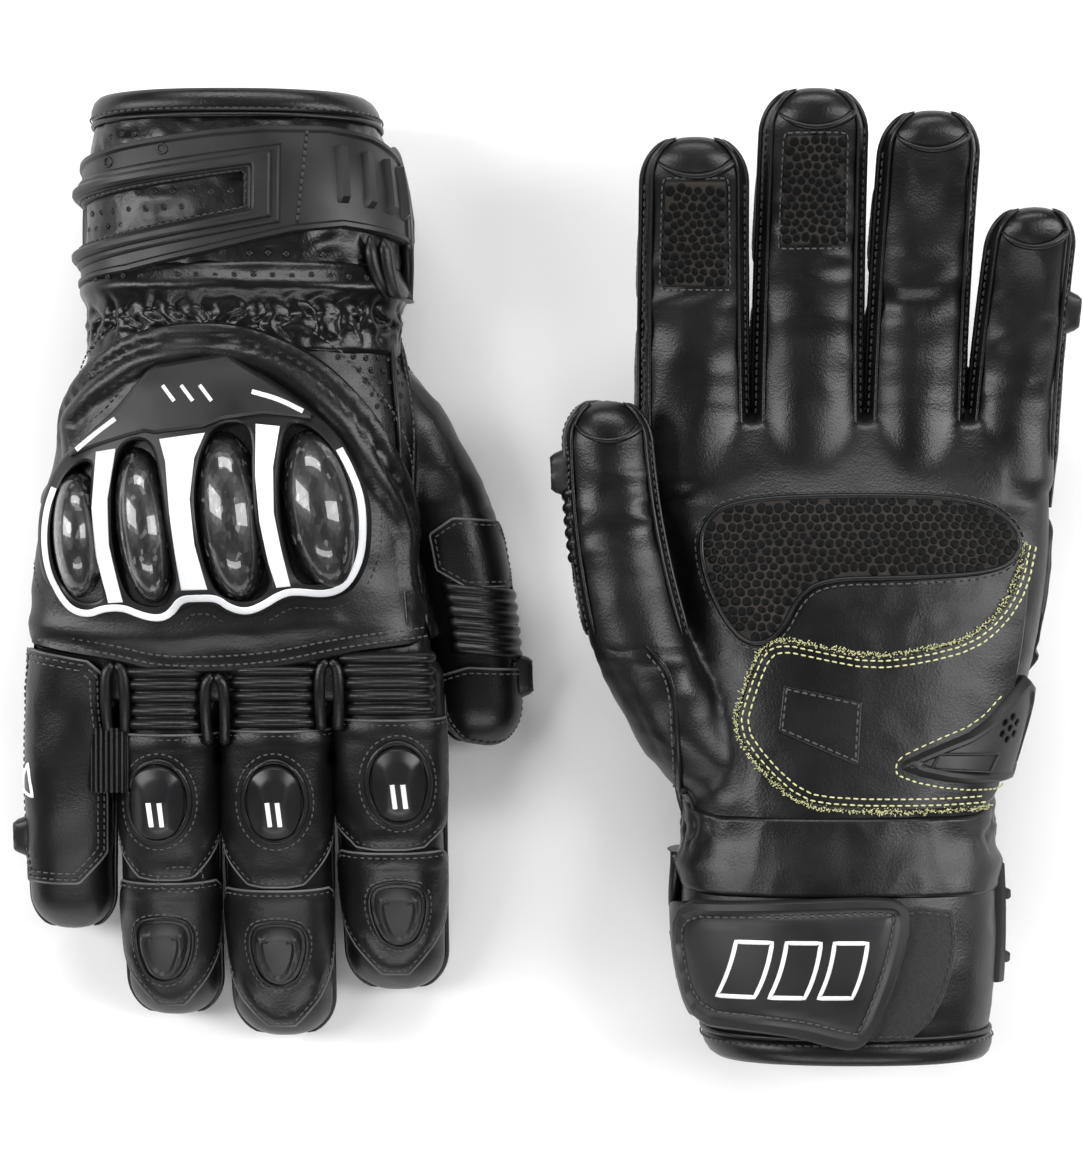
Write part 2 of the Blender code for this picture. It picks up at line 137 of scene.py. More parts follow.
class Sleeve:
    """A closed tube of material. v runs along it, and u is the arc from the middle of its back, in mm."""

    COLUMNS = 240
    flip = False

    def __init__(self, rows, power):
        angle = np.linspace(-math.pi, math.pi, self.COLUMNS + 1)
        across = np.sign(np.sin(angle)) * np.abs(np.sin(angle)) ** (2.0 / power)
        up = np.sign(np.cos(angle)) * np.abs(np.cos(angle)) ** (2.0 / power)
        self.v = np.array([row[0] for row in rows])
        raw = np.array([np.stack([x + hw * across, np.full_like(across, y), z + ht * up], 1)
                        for _, y, x, z, hw, ht in rows])
        arcs = np.concatenate([np.zeros((len(rows), 1)),
                               np.cumsum(np.linalg.norm(np.diff(raw, axis=1), axis=2), axis=1)], 1)
        self.half = arcs[:, -1] / 2.0
        self.points = np.empty_like(raw)
        even = np.linspace(0.0, 1.0, self.COLUMNS + 1)
        for k in range(len(rows)):
            for axis in range(3):
                self.points[k, :, axis] = np.interp(even * arcs[k, -1], arcs[k], raw[k, :, axis])
        wrapped = np.concatenate([self.points[:, -2:-1], self.points, self.points[:, 1:2]], 1)
        along = np.gradient(self.points, self.v, axis=0)
        normal = np.cross(wrapped[:, 2:] - wrapped[:, :-2], along)
        self.normals = normal / np.maximum(np.linalg.norm(normal, axis=2, keepdims=True), 1e-9)

    def half_at(self, v):
        return np.interp(v, self.v, self.half)

    def at(self, u, v, lift=0.0):
        """Points at (u, v), lift mm off the surface."""
        u, v, lift = spread(u, v, lift)
        half = np.maximum(self.half_at(v), 1e-6)
        column = (np.mod(u / half + 1.0, 2.0) / 2.0) * self.COLUMNS
        row = np.interp(v, self.v, np.arange(len(self.v)))
        i = np.clip(row.astype(int), 0, len(self.v) - 2)
        j = np.clip(column.astype(int), 0, self.COLUMNS - 1)
        s, t = (row - i)[:, None], (column - j)[:, None]

        def mix(table):
            low = table[i, j] * (1 - t) + table[i, j + 1] * t
            high = table[i + 1, j] * (1 - t) + table[i + 1, j + 1] * t
            return low * (1 - s) + high * s

        return mix(self.points) + mix(self.normals) * lift[:, None]

    def arc(self, x, v, under=False):
        """The arc u of the point that is seen at x from above, or from below."""
        row = min(max(int(round(float(np.interp(v, self.v, np.arange(len(self.v)))))), 0), len(self.v) - 1)
        quarter = self.COLUMNS // 4
        half = self.half[row]
        fraction = np.linspace(-1.0, 1.0, self.COLUMNS + 1)
        xs = self.points[row, :, 0]
        if under:
            low = np.concatenate([np.arange(3 * quarter, self.COLUMNS + 1), np.arange(1, quarter + 1)])
            arcs = np.concatenate([fraction[3 * quarter:], fraction[1:quarter + 1] + 2.0]) * half
            return float(np.interp(-x, -xs[low], arcs))
        top = slice(quarter, 3 * quarter + 1)
        return float(np.interp(x, xs[top], fraction[top] * half))

    def seen(self, outline, under=False):
        """An outline drawn in x and y, as (u, v)."""
        return [(self.arc(x, y, under), y) for x, y in outline]


def station_sleeve(stations, power, steps=90):
    """A sleeve through stations of the cuff, the wrist, the hand or the thumb's base."""
    ys = np.linspace(stations[0][0], stations[-1][0], steps)
    rows = []
    for y in ys:
        values = eased(stations, y)
        x, z, half_width, half_thickness = values if len(values) == 4 else (values[0], 0.0, *values[1:])
        rows.append((y, y, x, z, half_width, half_thickness))
    return Sleeve(rows, power)


def digit_row(name, y):
    """A digit's middle x and z, half width and half thickness at y."""
    root, tip = DIGITS[name]
    t = (y - root[0]) / (tip[0] - root[0])
    sway = 2.0 if name == "thumb" else 1.0
    x = root[1] + (tip[1] - root[1]) * (1.0 - max(0.0, 1.0 - t) ** sway)
    z = root[2] + (tip[2] - root[2]) * t * abs(t)
    return x, z, root[3] + (tip[3] - root[3]) * t, root[4] + (tip[4] - root[4]) * t


def digit_sleeve(name):
    """A digit from inside the hand to its tip. Past the round end's start, v runs on along the cap."""
    root, tip = DIGITS[name]
    cap = tip[4] * 1.05
    start = tip[0] - cap
    rows = []
    for y in np.linspace(root[0] - 14.0, start, 70):
        rows.append((y, y, *digit_row(name, y)))
    for angle in np.linspace(0.0, math.radians(86.0), 22)[1:]:
        y = start + cap * math.sin(angle)
        x, z, half_width, half_thickness = digit_row(name, y)
        shrink = math.cos(angle) ** 0.8
        rows.append((start + cap * angle, y, x, z, half_width * shrink, half_thickness * shrink))
    return Sleeve(rows, POWER_DIGIT)


class Underside:
    """The palm, on which (u, v) is a point's x and y."""

    flip = True
    REACH = 1.5

    def __init__(self, points, faces):
        self.tree = BVHTree.FromPolygons([Vector(p) for p in points], faces)

    def hit(self, x, y):
        found = self.tree.ray_cast(Vector((x, y, -90.0)), Vector((0.0, 0.0, 1.0)))
        if found[0] is None:
            near = self.tree.find_nearest(Vector((x, y, -14.0)))
            return near[0], near[1]
        return found[0], found[1]

    def at(self, u, v, lift=0.0):
        u, v, lift = spread(u, v, lift)
        out = np.empty((len(u), 3))
        known = {}
        for i, (x, y) in enumerate(zip(u, v)):
            key = (round(x, 3), round(y, 3))
            if key not in known:
                spot = self.hit(x, y)[0]
                normal = Vector()
                for dx, dy in ((0, 0), (1, 0), (-1, 0), (0, 1), (0, -1)):
                    facing = self.hit(x + dx * self.REACH, y + dy * self.REACH)[1]
                    normal += facing if facing.z < 0 else -facing
                known[key] = (np.array(spot), np.array(normal.normalized()))
            spot, normal = known[key]
            out[i] = spot + normal * lift[i]
        return out


class Plan:
    """Work drawn straight in the glove frame: (u, v, lift) is x, y and the height, or the depth if below."""

    def __init__(self, below):
        self.flip = below
        self.rise = -1.0 if below else 1.0

    def at(self, u, v, lift=0.0):
        u, v, lift = spread(u, v, lift)
        return np.column_stack([u, v, lift * self.rise])


PLAN, PLAN_BELOW = Plan(False), Plan(True)

# ---------------------------------------------------------------- flat work, in (u, v, lift)


class Work:
    """Points and faces that are laid out flat, then wrapped on a surface."""

    def __init__(self):
        self.points = []
        self.faces = []
        self.count = 0

    def add(self, points, faces):
        self.points.append(np.asarray(points, float).reshape(-1, 3))
        self.faces.extend(tuple(i + self.count for i in face) for face in faces)
        self.count += len(self.points[-1])
        return self

    def grid(self, rows, columns, points, closed=False):
        """Rows of points joined by four-sided faces."""
        wide = columns if closed else columns - 1
        faces = []
        for r in range(rows - 1):
            for c in range(wide):
                d = (c + 1) % columns
                faces.append((r * columns + c, r * columns + d, (r + 1) * columns + d, (r + 1) * columns + c))
        return self.add(points, faces)

    def capped(self, rows, columns):
        """A tube's two ends closed, with one flat face each."""
        self.faces.append(tuple(range(columns))[::-1])
        self.faces.append(tuple(range((rows - 1) * columns, rows * columns)))
        return self

    def turned(self):
        """The faces turned to look the other way."""
        self.faces = [face[::-1] for face in self.faces]
        return self

    def join(self, other):
        if other.points:
            self.add(np.concatenate(other.points), other.faces)
        return self

    def wrapped(self, surface):
        """The same work with its points in the glove frame."""
        out = Work()
        if not self.points:
            return out
        flat = np.concatenate(self.points)
        faces = [face[::-1] for face in self.faces] if surface.flip else self.faces
        return out.add(surface.at(flat[:, 0], flat[:, 1], flat[:, 2]), faces)


def resampled(points, step, closed):
    """A polyline's points at an even step, with its sharp corners kept."""
    points = [np.array(p, float) for p in points]
    if closed:
        points.append(points[0])
    out = []
    for a, b in zip(points, points[1:]):
        count = max(1, int(round(np.linalg.norm(b - a) / step)))
        out.extend(a + (b - a) * k / count for k in range(count))
    if not closed:
        out.append(points[-1])
    return np.array(out)


def run_of(line):
    """How far along a polyline each of its points is."""
    return np.concatenate([[0.0], np.cumsum(np.linalg.norm(np.diff(line, axis=0), axis=1))])


def curved(points, closed, step, rounds=3):
    """A soft curve near a few points, by cutting corners, at an even step."""
    points = np.array(points, float)
    for _ in range(rounds):
        following = np.roll(points, -1, axis=0) if closed else points[1:]
        before = points if closed else points[:-1]
        pairs = np.stack([before * 0.75 + following * 0.25, before * 0.25 + following * 0.75], 1)
        pairs = pairs.reshape(-1, 2)
        points = pairs if closed else np.concatenate([points[:1], pairs, points[-1:]])
    line = np.concatenate([points, points[:1]]) if closed else points
    lengths = run_of(line)
    count = max(4, int(round(lengths[-1] / step)))
    where = np.linspace(0.0, lengths[-1], count + 1)
    if closed:
        where = where[:-1]
    return np.stack([np.interp(where, lengths, line[:, 0]), np.interp(where, lengths, line[:, 1])], 1)


def sideways(line, closed):
    """The unit vector to the left of a polyline at each of its points."""
    if closed:
        along = np.roll(line, -1, axis=0) - np.roll(line, 1, axis=0)
    else:
        along = np.gradient(line, axis=0)
    along /= np.maximum(np.linalg.norm(along, axis=1, keepdims=True), 1e-9)
    return np.stack([-along[:, 1], along[:, 0]], 1)


def ring_of(loop):
    """A loop's points, counter-clockwise."""
    loop = np.array(loop, float)
    x, y = loop[:, 0], loop[:, 1]
    area = np.sum(x * np.roll(y, -1) - np.roll(x, -1) * y)
    return loop if area > 0 else loop[::-1]


def inset(loop, distance):
    """A counter-clockwise loop moved in by a distance."""
    return loop + sideways(loop, True) * distance


def distance_to(points, line, closed):
    """The distance from each point to a polyline."""
    a = line
    b = np.roll(line, -1, axis=0) if closed else line[1:]
    a = a if closed else line[:-1]
    d = b - a
    length = np.maximum(np.sum(d * d, axis=1), 1e-9)
    best = np.full(len(points), 1e9)
    for start in range(0, len(points), 4000):
        p = points[start:start + 4000, None, :]
        t = np.clip(np.sum((p - a) * d, axis=2) / length, 0.0, 1.0)
        gap = np.linalg.norm(p - (a + t[:, :, None] * d), axis=2)
        best[start:start + 4000] = gap.min(axis=1)
    return best


def inside(points, loop):
    """Whether each point is within a loop."""
    x, y = points[:, 0][:, None], points[:, 1][:, None]
    ax, ay = loop[:, 0], loop[:, 1]
    bx, by = np.roll(ax, -1), np.roll(ay, -1)
    crosses = (ay > y) != (by > y)
    with np.errstate(divide="ignore", invalid="ignore"):
        at = ax + (y - ay) * (bx - ax) / (by - ay)
    return (np.sum(crosses & (x < at), axis=1) % 2) == 1


def within(points, loops):
    """Whether each point is inside the first loop and outside the others."""
    found = inside(points, loops[0])
    for hole in loops[1:]:
        found &= ~inside(points, hole)
    return found


def field(loops, step, lines):
    """Points spread over the area between loops at an even step, and along the lines."""
    low, high = loops[0].min(axis=0), loops[0].max(axis=0)
    row_step = step * 0.87
    us, vs = np.meshgrid(np.arange(low[0], high[0], step), np.arange(low[1], high[1], row_step))
    us = us + (np.arange(us.shape[0])[:, None] % 2) * step * 0.5
    spots = np.column_stack([us.ravel(), vs.ravel()])
    keep = within(spots, loops)
    for loop in loops:
        keep &= distance_to(spots, loop, True) > step * 0.45
    for line in lines:
        keep &= distance_to(spots, line, False) > step * 0.35
    on_lines = [line[inside(line, loops[0]) & (distance_to(line, loops[0], True) > 0.15)] for line in lines]
    return np.concatenate([spots[keep], *on_lines])


def filled(loops, step, lines):
    """The area between loops as flat points and three-sided faces that look up."""
    points, edges = [], []
    for loop in loops:
        base = len(points)
        points.extend(map(tuple, loop))
        edges.extend((base + i, base + (i + 1) % len(loop)) for i in range(len(loop)))
    points.extend(map(tuple, field(loops, step, lines)))
    flat, _, triangles, *_ = delaunay_2d_cdt([Vector(p) for p in points], edges, [], 0, 1e-5)
    flat = np.array([tuple(p) for p in flat])
    middles = np.array([np.mean(flat[list(face)], axis=0) for face in triangles])
    faces = []
    for face, ok in zip(triangles, within(middles, loops)):
        if ok:
            a, b, c = (flat[i] for i in face)
            turn = (b[0] - a[0]) * (c[1] - a[1]) - (b[1] - a[1]) * (c[0] - a[0])
            faces.append(tuple(face) if turn > 0 else tuple(face)[::-1])
    return flat, faces


def plate(outline, top, holes, step, edge, floor, lines=()):
    """A cover cut to an outline, of height top(points), with (inset, drop) pairs for its rounded edge.

    lines are extra polylines for the mesh to follow, where the height changes quickly.
    """
    work = Work()
    inner_loops = []
    for loop in [ring_of(outline)] + [ring_of(hole)[::-1] for hole in holes]:
        rings = [np.column_stack([loop, np.full(len(loop), floor)])]
        for distance, drop in edge:
            moved = inset(loop, distance)
            rings.append(np.column_stack([moved, top(moved) - drop]))
        work.grid(len(rings), len(loop), np.concatenate(rings), closed=True)
        inner_loops.append(inset(loop, edge[-1][0]))
    flat, faces = filled(inner_loops, step, [np.array(line, float) for line in lines])
    return work.add(np.column_stack([flat, top(flat) - edge[-1][1]]), faces)


# (inset, drop) pairs of the rims that several covers share
PANEL_RIM = ((0.0, 0.9), (0.15, 0.35), (0.6, 0.0))
CAP_RIM = ((0.0, 0.6), (0.2, 0.2), (0.5, 0.0))


def level(height):
    """A plate's height that is the same all over."""
    return lambda points: np.full(len(points), float(height))


def dished(ring, base, rise, slope, dip, dip_start, dip_end):
    """A moulded cap's height: a rise within slope mm of its edge, then a dip to a lower flat middle."""

    def top(points):
        deep = distance_to(points, ring, True)
        return base + rise * smooth(0.0, slope, deep) - dip * smooth(dip_start, dip_end, deep)

    return top


def rope(line, radius, lift, closed=False, sides=8, squeeze=1.0, taper=0.0):
    """A welt, piping or thread along a line. taper is the length over which each end thins out."""
    line = np.array(line, float)
    left = sideways(line, closed)
    count = len(line)
    size = np.full(count, float(radius))
    if taper and not closed:
        run = run_of(line)
        ends = np.minimum(run, run[-1] - run)
        size = size * (0.15 + 0.85 * np.sqrt(smooth(0.0, taper, ends)))
    lifts = np.broadcast_to(lift, (count,))
    points = np.empty((count, sides, 3))
    for k in range(sides):
        angle = k * 2.0 * math.pi / sides
        points[:, k, :2] = line + left * (size * math.cos(angle))[:, None]
        points[:, k, 2] = lifts + size * squeeze * math.sin(angle)
    if closed:
        return Work().grid(count + 1, sides, np.concatenate([points, points[:1]]), closed=True).turned()
    return Work().grid(count, sides, points, closed=True).capped(count, sides).turned()


# how far along a stitch, its share of the full width, and of the full height
STITCH_SHAPE = ((0.0, 0.15, 0.0), (0.14, 0.85, 0.75), (0.5, 1.0, 1.0), (0.86, 0.85, 0.75), (1.0, 0.15, 0.0))
STITCH_HEIGHT = 0.55
# pitch, length and width of a row's stitches
FINE_ROW = (1.9, 1.3, 0.42)
PANEL_ROW = (2.0, 1.4, 0.42)
SEAM_ROW = (2.1, 1.5, 0.45)
HEM_ROW = (2.1, 1.5, 0.5)
PATCH_ROW = (2.2, 1.6, 0.45)
STRONG_ROW = (2.2, 1.6, 0.5)
ARAMID_ROW = (2.1, 1.55, 0.48)


def stitches(line, pitch, length, width, lift, closed=False):
    """A row of thread stitches on a line."""
    line = np.array(line, float)
    if closed:
        line = np.concatenate([line, line[:1]])
    run = run_of(line)
    count = int(run[-1] / pitch)
    work = Work()
    for k in range(count):
        start, end = (np.array([np.interp(s, run, line[:, 0]), np.interp(s, run, line[:, 1])])
                      for s in (k * pitch, k * pitch + length))
        along = end - start
        left = np.array([-along[1], along[0]]) / max(np.linalg.norm(along), 1e-6)
        points = []
        for t, wide, tall in STITCH_SHAPE:
            for turn in range(6):
                angle = turn * math.pi / 3.0
                spot = start + along * t + left * width * 0.5 * wide * math.cos(angle)
                rise = STITCH_HEIGHT * (0.5 * wide * math.sin(angle) + 0.4 * tall - 0.2)
                points.append((*spot, lift + rise))
        work.grid(len(STITCH_SHAPE), 6, points, closed=True)
    return work.turned()


def folds(u_range, v_range, count, height, base, slant, step):
    """Leather sewn in rolls across a strip, as on a knuckle: count rolls along v."""
    (u0, u1), (v0, v1) = u_range, v_range
    columns = max(4, int((u1 - u0) / 1.2))
    rows = max(6, int(abs(v1 - v0) / step))
    points = []
    for r in range(rows + 1):
        t = r / rows
        roll = abs(math.sin(math.pi * count * t)) ** 0.55
        for c in range(columns + 1):
            u = u0 + (u1 - u0) * c / columns
            v = v0 + (v1 - v0) * t + slant * (u - u0) / (u1 - u0)
            side = float(smooth(0.0, 2.0, min(u - u0, u1 - u)))
            points.append((u, v, base - 1.2 * (1.0 - side) + height * roll * (0.35 + 0.65 * side)))
    return Work().grid(rows + 1, columns + 1, points)


HOLE_RADIUS = 0.5


def holes_grid(outline, pitch, edge, lift, jitter):
    """Punched holes in staggered rows within an outline: a raised lip around each, and a near-black disc in
    it as painted shade.
    """
    loop = np.array(outline, float)
    low, high = loop.min(axis=0), loop.max(axis=0)
    lips, hole_shades = Work(), Work()
    row = 0
    v = low[1]
    while v < high[1]:
        u = low[0] + (pitch * 0.5 if row % 2 else 0.0)
        while u < high[0]:
            spot = np.array([[u + random.uniform(-jitter, jitter), v + random.uniform(-jitter, jitter)]])
            if inside(spot, loop)[0] and distance_to(spot, loop, True)[0] > edge:
                add_hole(lips, hole_shades, spot[0], lift)
            u += pitch
        v += pitch * 0.8
        row += 1
    return lips, hole_shades


def add_hole(lips, hole_shades, spot, lift):
    """One punched hole: a raised lip, and a near-black disc within it that paints the shade in the hole."""
    sides = 8

    def circle(scale, rise):
        radius = HOLE_RADIUS * scale
        turns = [k * 2.0 * math.pi / sides for k in range(sides)]
        return [(spot[0] + radius * math.cos(t), spot[1] + radius * math.sin(t), lift + rise) for t in turns]

    lip = circle(1.75, -0.12) + circle(1.3, 0.12) + circle(0.95, 0.1) + circle(0.8, -0.05)
    lips.grid(4, sides, lip, closed=True)
    # a near-black disc at the surface: painted shade in the hole
    hole_shades.add(circle(0.95, 0.04), [tuple(range(sides))])


# ---------------------------------------------------------------- placing


def placed(points, side):
    """Glove-frame points in the world, in metres."""
    if side == "right":
        moved = points * (-1.0, -1.0, 1.0) + (-GLOVE_OFFSET_X, GLOVE_OFFSET_Y, REST_HEIGHT)
    else:
        moved = points * (1.0, 1.0, -1.0) + (GLOVE_OFFSET_X, -GLOVE_OFFSET_Y, REST_HEIGHT)
    return moved * MM


def spot(side, y, z=-8.0):
    """A place on the glove's middle line, in metres in the world."""
    return tuple(placed(np.array([[0.0, y, z]]), side)[0])


def body_name(side, digit, part):
    """The body that carries a digit's part; the ring and little fingers share their first one."""
    if part == "proximal" and digit in ("ring", "pinky"):
        return f"{side}_ring_pinky_proximal"
    return f"{side}_{digit}_{part}"


def attach(piece, side, zone):
    """The piece rides on its zone's body; a piece whose zone joins two bodies gets its transform baked in and
    rides on none.
    """
    if zone in ("hand", "cuff", "strap"):
        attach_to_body(piece, f"{side}_{zone}")
        return
    if zone == "wrist":
        spot(side, -13.0)
        spot(side, 13.0)
        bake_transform(piece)
        return
    if zone == "strap_root":
        spot(side, -35.0, -1.0)
        spot(side, -35.0, -11.0)
        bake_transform(piece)
        return
    digit, part = zone
    proximal = body_name(side, digit, "proximal")
    if part == "root":
        root = DIGITS[digit][0][0]
        spot(side, root - 13.0)
        spot(side, root + 13.0)
        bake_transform(piece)
    elif part == "far":
        hinge = MIDDLE_HINGE[digit]
        spot(side, hinge - 13.0)
        spot(side, hinge + 13.0)
        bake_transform(piece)
    else:
        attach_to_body(piece, body_name(side, digit, part))


def made_object(name, points, faces, material):
    mesh = bpy.data.meshes.new(name)
    mesh.from_pydata(points.tolist(), [], faces)
    mesh.validate()
    mesh.shade_smooth()
    mesh.materials.append(material)
    piece = bpy.data.objects.new(name, mesh)
    bpy.context.scene.collection.objects.link(piece)
    return piece


def emit(name, work, look, zone, replaces=(), crease=None):
    """The finished piece on both gloves."""
    if not work.points:
        return
    material, slot = LOOKS[look]
    points = np.concatenate(work.points)
    for side in SIDES:
        faces = work.faces if side == "right" else [face[::-1] for face in work.faces]
        piece = made_object(f"{side}_{name}", placed(points, side), faces, material)
        if crease:
            piece.data.set_sharp_from_angle(angle=math.radians(crease))
        attach(piece, side, zone)
        if replaces:
            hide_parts(*(f"{side}_{node}" for node in replaces))


def subset(points, faces):
    """Some faces, with only the points that they use."""
    used = sorted({i for face in faces for i in face})
    index = {old: new for new, old in enumerate(used)}
    return Work().add(points[used], [tuple(index[i] for i in face) for face in faces])


def emit_digit(name, digit, work, look, replaces=((), ())):
    """Work on a digit, parted in two at a y between the places of its two joints."""
    if not work.points:
        return
    points = np.concatenate(work.points)
    for suffix, part, stand_ins in (("a", "root", replaces[0]), ("b", "far", replaces[1])):
        chosen = [face for face in work.faces
                  if (np.mean(points[list(face), 1]) < SPLIT[digit]) == (part == "root")]
        if chosen:
            emit(f"{name}_{suffix}", subset(points, chosen), look, (digit, part), stand_ins)


# ---------------------------------------------------------------- materials


def new_material(name, colour, roughness, **inputs):
    material = bpy.data.materials.new(name)
    material.use_nodes = True
    shader = material.node_tree.nodes["Principled BSDF"]
    shader.inputs["Base Color"].default_value = (*colour, 1.0)
    shader.inputs["Roughness"].default_value = roughness
    for key, value in inputs.items():
        shader.inputs[key.replace("_", " ")].default_value = value
    return material, shader


class Graph:
    """Short calls for a material's nodes."""

    def __init__(self, material, shader):
        self.tree = material.node_tree
        self.shader = shader
        self.place = self.tree.nodes.new("ShaderNodeTexCoord").outputs["Object"]

    def node(self, kind, **inputs):
        made = self.tree.nodes.new(kind)
        for key, value in inputs.items():
            socket = made.inputs[key.replace("_", " ")]
            if isinstance(value, bpy.types.NodeSocket):
                self.tree.links.new(value, socket)
            else:
                socket.default_value = value
        return made

    def noise(self, scale, detail=3.0, roughness=0.5, distortion=0.0):
        return self.node("ShaderNodeTexNoise", Vector=self.place, Scale=scale, Detail=detail,
                         Roughness=roughness, Distortion=distortion).outputs["Fac"]

    def ramp(self, value, stops):
        made = self.node("ShaderNodeValToRGB", Fac=value)
        elements = made.color_ramp.elements
        while len(elements) < len(stops):
            elements.new(0.5)
        for element, (position, colour) in zip(elements, stops):
            element.position = position
            element.color = (*colour, 1.0) if hasattr(colour, "__len__") else (colour, colour, colour, 1.0)
        return made.outputs["Color"]

    def bump(self, height, strength, distance, normal=None):
        made = self.node("ShaderNodeBump", Height=height, Strength=strength, Distance=distance)
        if normal is not None:
            self.tree.links.new(normal, made.inputs["Normal"])
        return made.outputs["Normal"]

    def wire(self, value, socket):
        self.tree.links.new(value, self.shader.inputs[socket])

    def mottle(self, value, low, high, colour, dark, light):
        """The base colour, from darker to lighter as value goes from low to high."""
        shades = [tuple(min(1.0, c * factor) for c in colour) for factor in (dark, light)]
        self.wire(self.ramp(value, ((low, shades[0]), (high, shades[1]))), "Base Color")


def leather(name, colour, rough, gloss_low, gloss_high, crinkle=0.0, grain=0.35, specular=0.5):
    """Black cowhide: fine pebbled grain, small wrinkles, and patches that are worn a little smoother."""
    material, shader = new_material(name, colour, rough, Specular_IOR_Level=specular)
    graph = Graph(material, shader)
    fine = graph.node("ShaderNodeTexVoronoi", Vector=graph.place, Scale=1500.0).outputs["Distance"]
    soft = graph.noise(420.0, 5.0, 0.6)
    wide = graph.noise(38.0, 3.0, 0.55, 0.6)
    normal = graph.bump(fine, grain, 0.0001)
    normal = graph.bump(soft, 0.25, 0.0002, normal)
    if crinkle:
        normal = graph.bump(graph.noise(210.0, 2.0, 0.45, 0.6), crinkle, 0.0009, normal)
    graph.wire(normal, "Normal")
    graph.wire(graph.ramp(wide, ((0.32, gloss_low), (0.68, gloss_high))), "Roughness")
    graph.mottle(graph.noise(90.0, 4.0, 0.6), 0.3, 0.7, colour, 0.6, 1.5)
    return material


def moulded(name, colour, rough, speckle=900.0, strength=0.12):
    """Matte moulded rubber or plastic with a fine spark-eroded texture."""
    material, shader = new_material(name, colour, rough, Specular_IOR_Level=0.42)
    graph = Graph(material, shader)
    graph.wire(graph.bump(graph.noise(speckle, 3.0, 0.6), strength, 0.0001), "Normal")
    low, high = rough * 0.85, min(1.0, rough * 1.15)
    graph.wire(graph.ramp(graph.noise(60.0, 2.0), ((0.35, low), (0.65, high))), "Roughness")
    graph.mottle(graph.noise(45.0, 3.0), 0.35, 0.65, colour, 0.8, 1.15)
    return material


def forged_carbon():
    """Chopped carbon flakes under a thick clear coat."""
    material, shader = new_material("forged_carbon", (0.02, 0.02, 0.022), 0.3, Coat_Weight=1.0,
                                    Coat_Roughness=0.04, Specular_IOR_Level=0.6)
    graph = Graph(material, shader)
    bent = graph.node("ShaderNodeMapping", Vector=graph.place, Scale=(1.0, 0.55, 1.0)).outputs["Vector"]
    flakes = graph.node("ShaderNodeTexVoronoi", Vector=bent, Scale=900.0)
    shade = graph.node("ShaderNodeSeparateColor", Color=flakes.outputs["Color"]).outputs["Red"]
    graph.wire(graph.ramp(shade, ((0.0, 0.002), (0.5, 0.004), (0.8, 0.014), (0.93, 0.045), (1.0, 0.13))),
               "Base Color")
    graph.wire(graph.ramp(shade, ((0.0, 0.5), (1.0, 0.25))), "Roughness")
    graph.wire(graph.bump(flakes.outputs["Distance"], 0.25, 0.0002), "Normal")
    return material


def thread(name, colour, rough, twist=2600.0):
    """Spun fibres, with their twist as fine stripes."""
    material, shader = new_material(name, colour, rough, Sheen_Weight=0.3)
    graph = Graph(material, shader)
    strands = graph.noise(twist, 2.0, 0.6)
    graph.mottle(strands, 0.3, 0.65, colour, 0.55, 1.0)
    graph.wire(graph.bump(strands, 0.6, 0.0002), "Normal")
    return material


def fuzz():
    """The looped half of the strap's fastening."""
    material, shader = new_material("loop_pile", (0.004, 0.004, 0.0045), 0.95, Sheen_Weight=0.15,
                                    Sheen_Roughness=0.6)
    graph = Graph(material, shader)
    pile = graph.noise(1300.0, 5.0, 0.75, 1.5)
    graph.wire(graph.ramp(pile, ((0.35, 0.001), (0.7, 0.012))), "Base Color")
    graph.wire(graph.bump(pile, 1.0, 0.0008), "Normal")
    return material


BLACK = (0.0024, 0.0024, 0.0028)
SOFT_BLACK = (0.0022, 0.0022, 0.0026)
# a lighter grey for the rims along panel edges: a painted highlight
RIM_HIGHLIGHT_GREY = (0.085, 0.085, 0.088)
